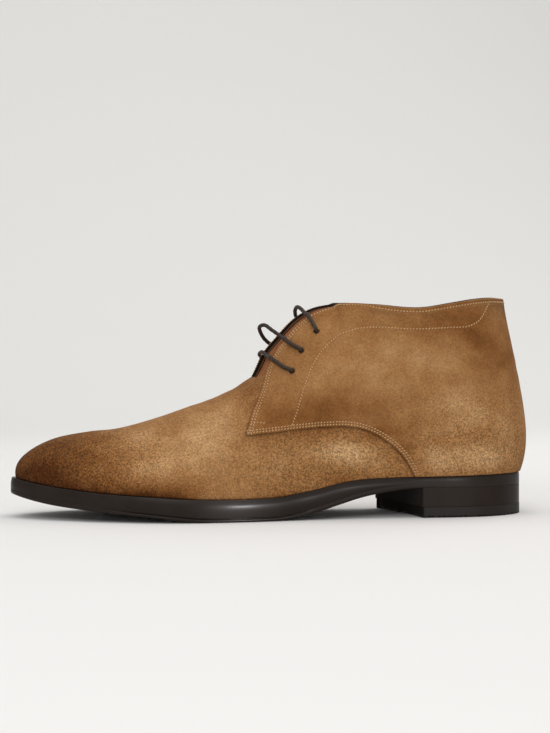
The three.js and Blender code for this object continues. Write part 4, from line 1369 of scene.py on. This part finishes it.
def makeLace(index, node):
    line = sampleLine(lacePath(index, lacePlaces[node]), laceSizes["step"])
    tangent = unit(np.gradient(line, axis=0))
    side = unit(np.cross(tangent, np.array([0.1, 0.0, 1.0])))
    around, strand = laceSizes["around"], laceSizes["strand"]
    angle = 6 * np.pi * np.arange(around)[None] / around
    twist = 2 * np.pi * np.arange(len(line))[:, None] * laceSizes["step"] / laceSizes["twist"]
    braid = 1 + strand / 2 * (np.cos(angle - twist) + np.cos(angle + twist))
    radii = laceSizes["width"] / 2 * (1 - strand) * braid[..., None]
    rings = crossSections(line, radii, side, np.cross(tangent, side), around)
    name = "laceBar" + node.rsplit("_", 1)[1].capitalize()
    piece = mergeClose(makeMesh(name, rings, tubeFaces(len(line), around)), 0.000001)
    dress(piece, laceMaterial, "lace", node)


for index, node in enumerate(lacePlaces):
    makeLace(index, node)
print("laces made")

# Stitches

stitchShape = {  # rings along one stitch: share of its length, lift in mm, share of its width
    "around": 6, "sink": 0.12,
    "rings": ((-0.5, -0.28, 0.35), (-0.36, 0.02, 0.85), (0.0, 0.2, 1.0), (0.36, 0.02, 0.85),
              (0.5, -0.28, 0.35)),
}


def makeStitches():
    around, rings = stitchShape["around"], stitchShape["rings"]
    length = stitchRows["pitch"] * stitchRows["threadLength"]
    blocks = []
    for turns, v in threadLines:
        here, ahead = surfaceRow(turns, v)
        centre, normal = skin(*here, quarterAway), normalOn(*here)
        tangent = unit(skin(*ahead, quarterAway) - centre)
        side = np.cross(normal, tangent)
        block = []
        for share, lift, width in rings:
            middle = centre + tangent * (share * length) + side * (share * stitchRows["slant"])
            middle = middle + normal * (lift - stitchShape["sink"])
            block.append(crossSections(middle, stitchRows["threadWidth"] / 2 * width, side, normal, around))
        blocks.append(np.stack(block, 1).reshape(-1, 3))
    points = np.concatenate(blocks)
    oneStitch = tubeFaces(len(rings), around)
    starts = range(0, len(points), len(rings) * around)
    faces = [[start + k for k in face] for start in starts for face in oneStitch]
    piece = makeMesh("seamThread", points, faces)
    rework(piece, lambda work: bmesh.ops.recalc_face_normals(work, faces=work.faces))
    return piece


stitches = makeStitches()
dress(stitches, threadMaterial, "suede")
print("stitches", len(stitches.data.polygons), "faces")

# Floor, light and camera

stageLooks = {
    "floorNear": (0.685, 0.672, 0.662), "floorFar": (0.74, 0.735, 0.72), "wall": (0.8, 0.8, 0.79),
    "edge": -0.3, "fade": 0.3, "ambient": 0.79,
}


def makeFloor():  # a pale sheet that sweeps up far behind the boot
    profile = [(4000.0, 0.0)] + [(y, 0.0) for y in range(1500, -900, -300)]
    for k in range(13):
        angle = math.pi / 2 * k / 12
        profile.append((-900 - 700 * math.sin(angle), 700 - 700 * math.cos(angle)))
    profile.append((-1600.0, 3200.0))
    points = [(x, y, z - 0.05) for y, z in profile for x in (-4000, 4000)]
    faces = [(2 * k, 2 * k + 1, 2 * k + 3, 2 * k + 2) for k in range(len(profile) - 1)]
    floor = makeMesh("floor", np.array(points), faces)
    material, tree, shader, vector = startMaterial("floorPaper")
    split = add(tree, "ShaderNodeSeparateXYZ")
    tree.links.new(vector, split.inputs[0])
    edge, fade = stageLooks["edge"], stageLooks["fade"]
    share = mapRange(tree, split.outputs["Y"], edge - fade, edge + fade)
    colour = mixColor(tree, share, stageLooks["floorFar"], stageLooks["floorNear"])
    tree.links.new(colour, shader.inputs["Base Color"])
    setValues(shader, Roughness=0.9, Specular_IOR_Level=0.1)
    floor.data.materials.append(material)


def makeLight(name, place, target, size, power):
    data = bpy.data.lights.new(name, "AREA")
    data.shape = "RECTANGLE"
    data.size, data.size_y = size
    data.energy = power
    lamp = bpy.data.objects.new(name, data)
    bpy.context.scene.collection.objects.link(lamp)
    lamp.location = place
    lamp.rotation_euler = (Vector(target) - Vector(place)).to_track_quat("-Z", "Y").to_euler()


makeFloor()
makeLight("overheadBox", (0.15, 0.1, 1.5), (0.12, 0, 0), (1.6, 1.4), 13)
makeLight("frontBox", (0.55, 1.5, 0.9), (0.12, 0, 0.05), (0.9, 0.6), 8)
makeLight("rearBox", (-0.7, -0.6, 0.9), (0.1, 0, 0.06), (0.7, 0.7), 3)
makeLight("sparkLamp", (-0.53, 1.41, 0.09), (0.14, 0.054, 0.01), (0.05, 0.05), 3.4)

world = bpy.data.worlds.new("studio")
bpy.context.scene.world = world
world.use_nodes = True
setValues(world.node_tree.nodes["Background"], Color=(*stageLooks["wall"], 1), Strength=stageLooks["ambient"])

cameraPlace = {"location": (0.2599, 1.3553, 0.130), "heading": (-0.104528, -0.994522), "pitch": 1.695,
               "focal": 2247.0, "pictureHeight": 733, "sensor": 24.0}  # focal length in pixels
cameraData = bpy.data.cameras.new("camera")
camera = bpy.data.objects.new("camera", cameraData)
bpy.context.scene.collection.objects.link(camera)
camera.location = cameraPlace["location"]
down = math.tan(math.radians(cameraPlace["pitch"]))
aim = Vector((*cameraPlace["heading"], -down))
camera.rotation_euler = aim.to_track_quat("-Z", "Y").to_euler()
cameraData.sensor_fit = "VERTICAL"
cameraData.sensor_height = cameraPlace["sensor"]
cameraData.lens = cameraPlace["focal"] / cameraPlace["pictureHeight"] * cameraPlace["sensor"]
cameraData.dof.use_dof = False
cameraData.clip_start = 0.05
bpy.context.scene.camera = camera
bpy.context.scene.view_settings.view_transform = "Standard"

print("stage made")
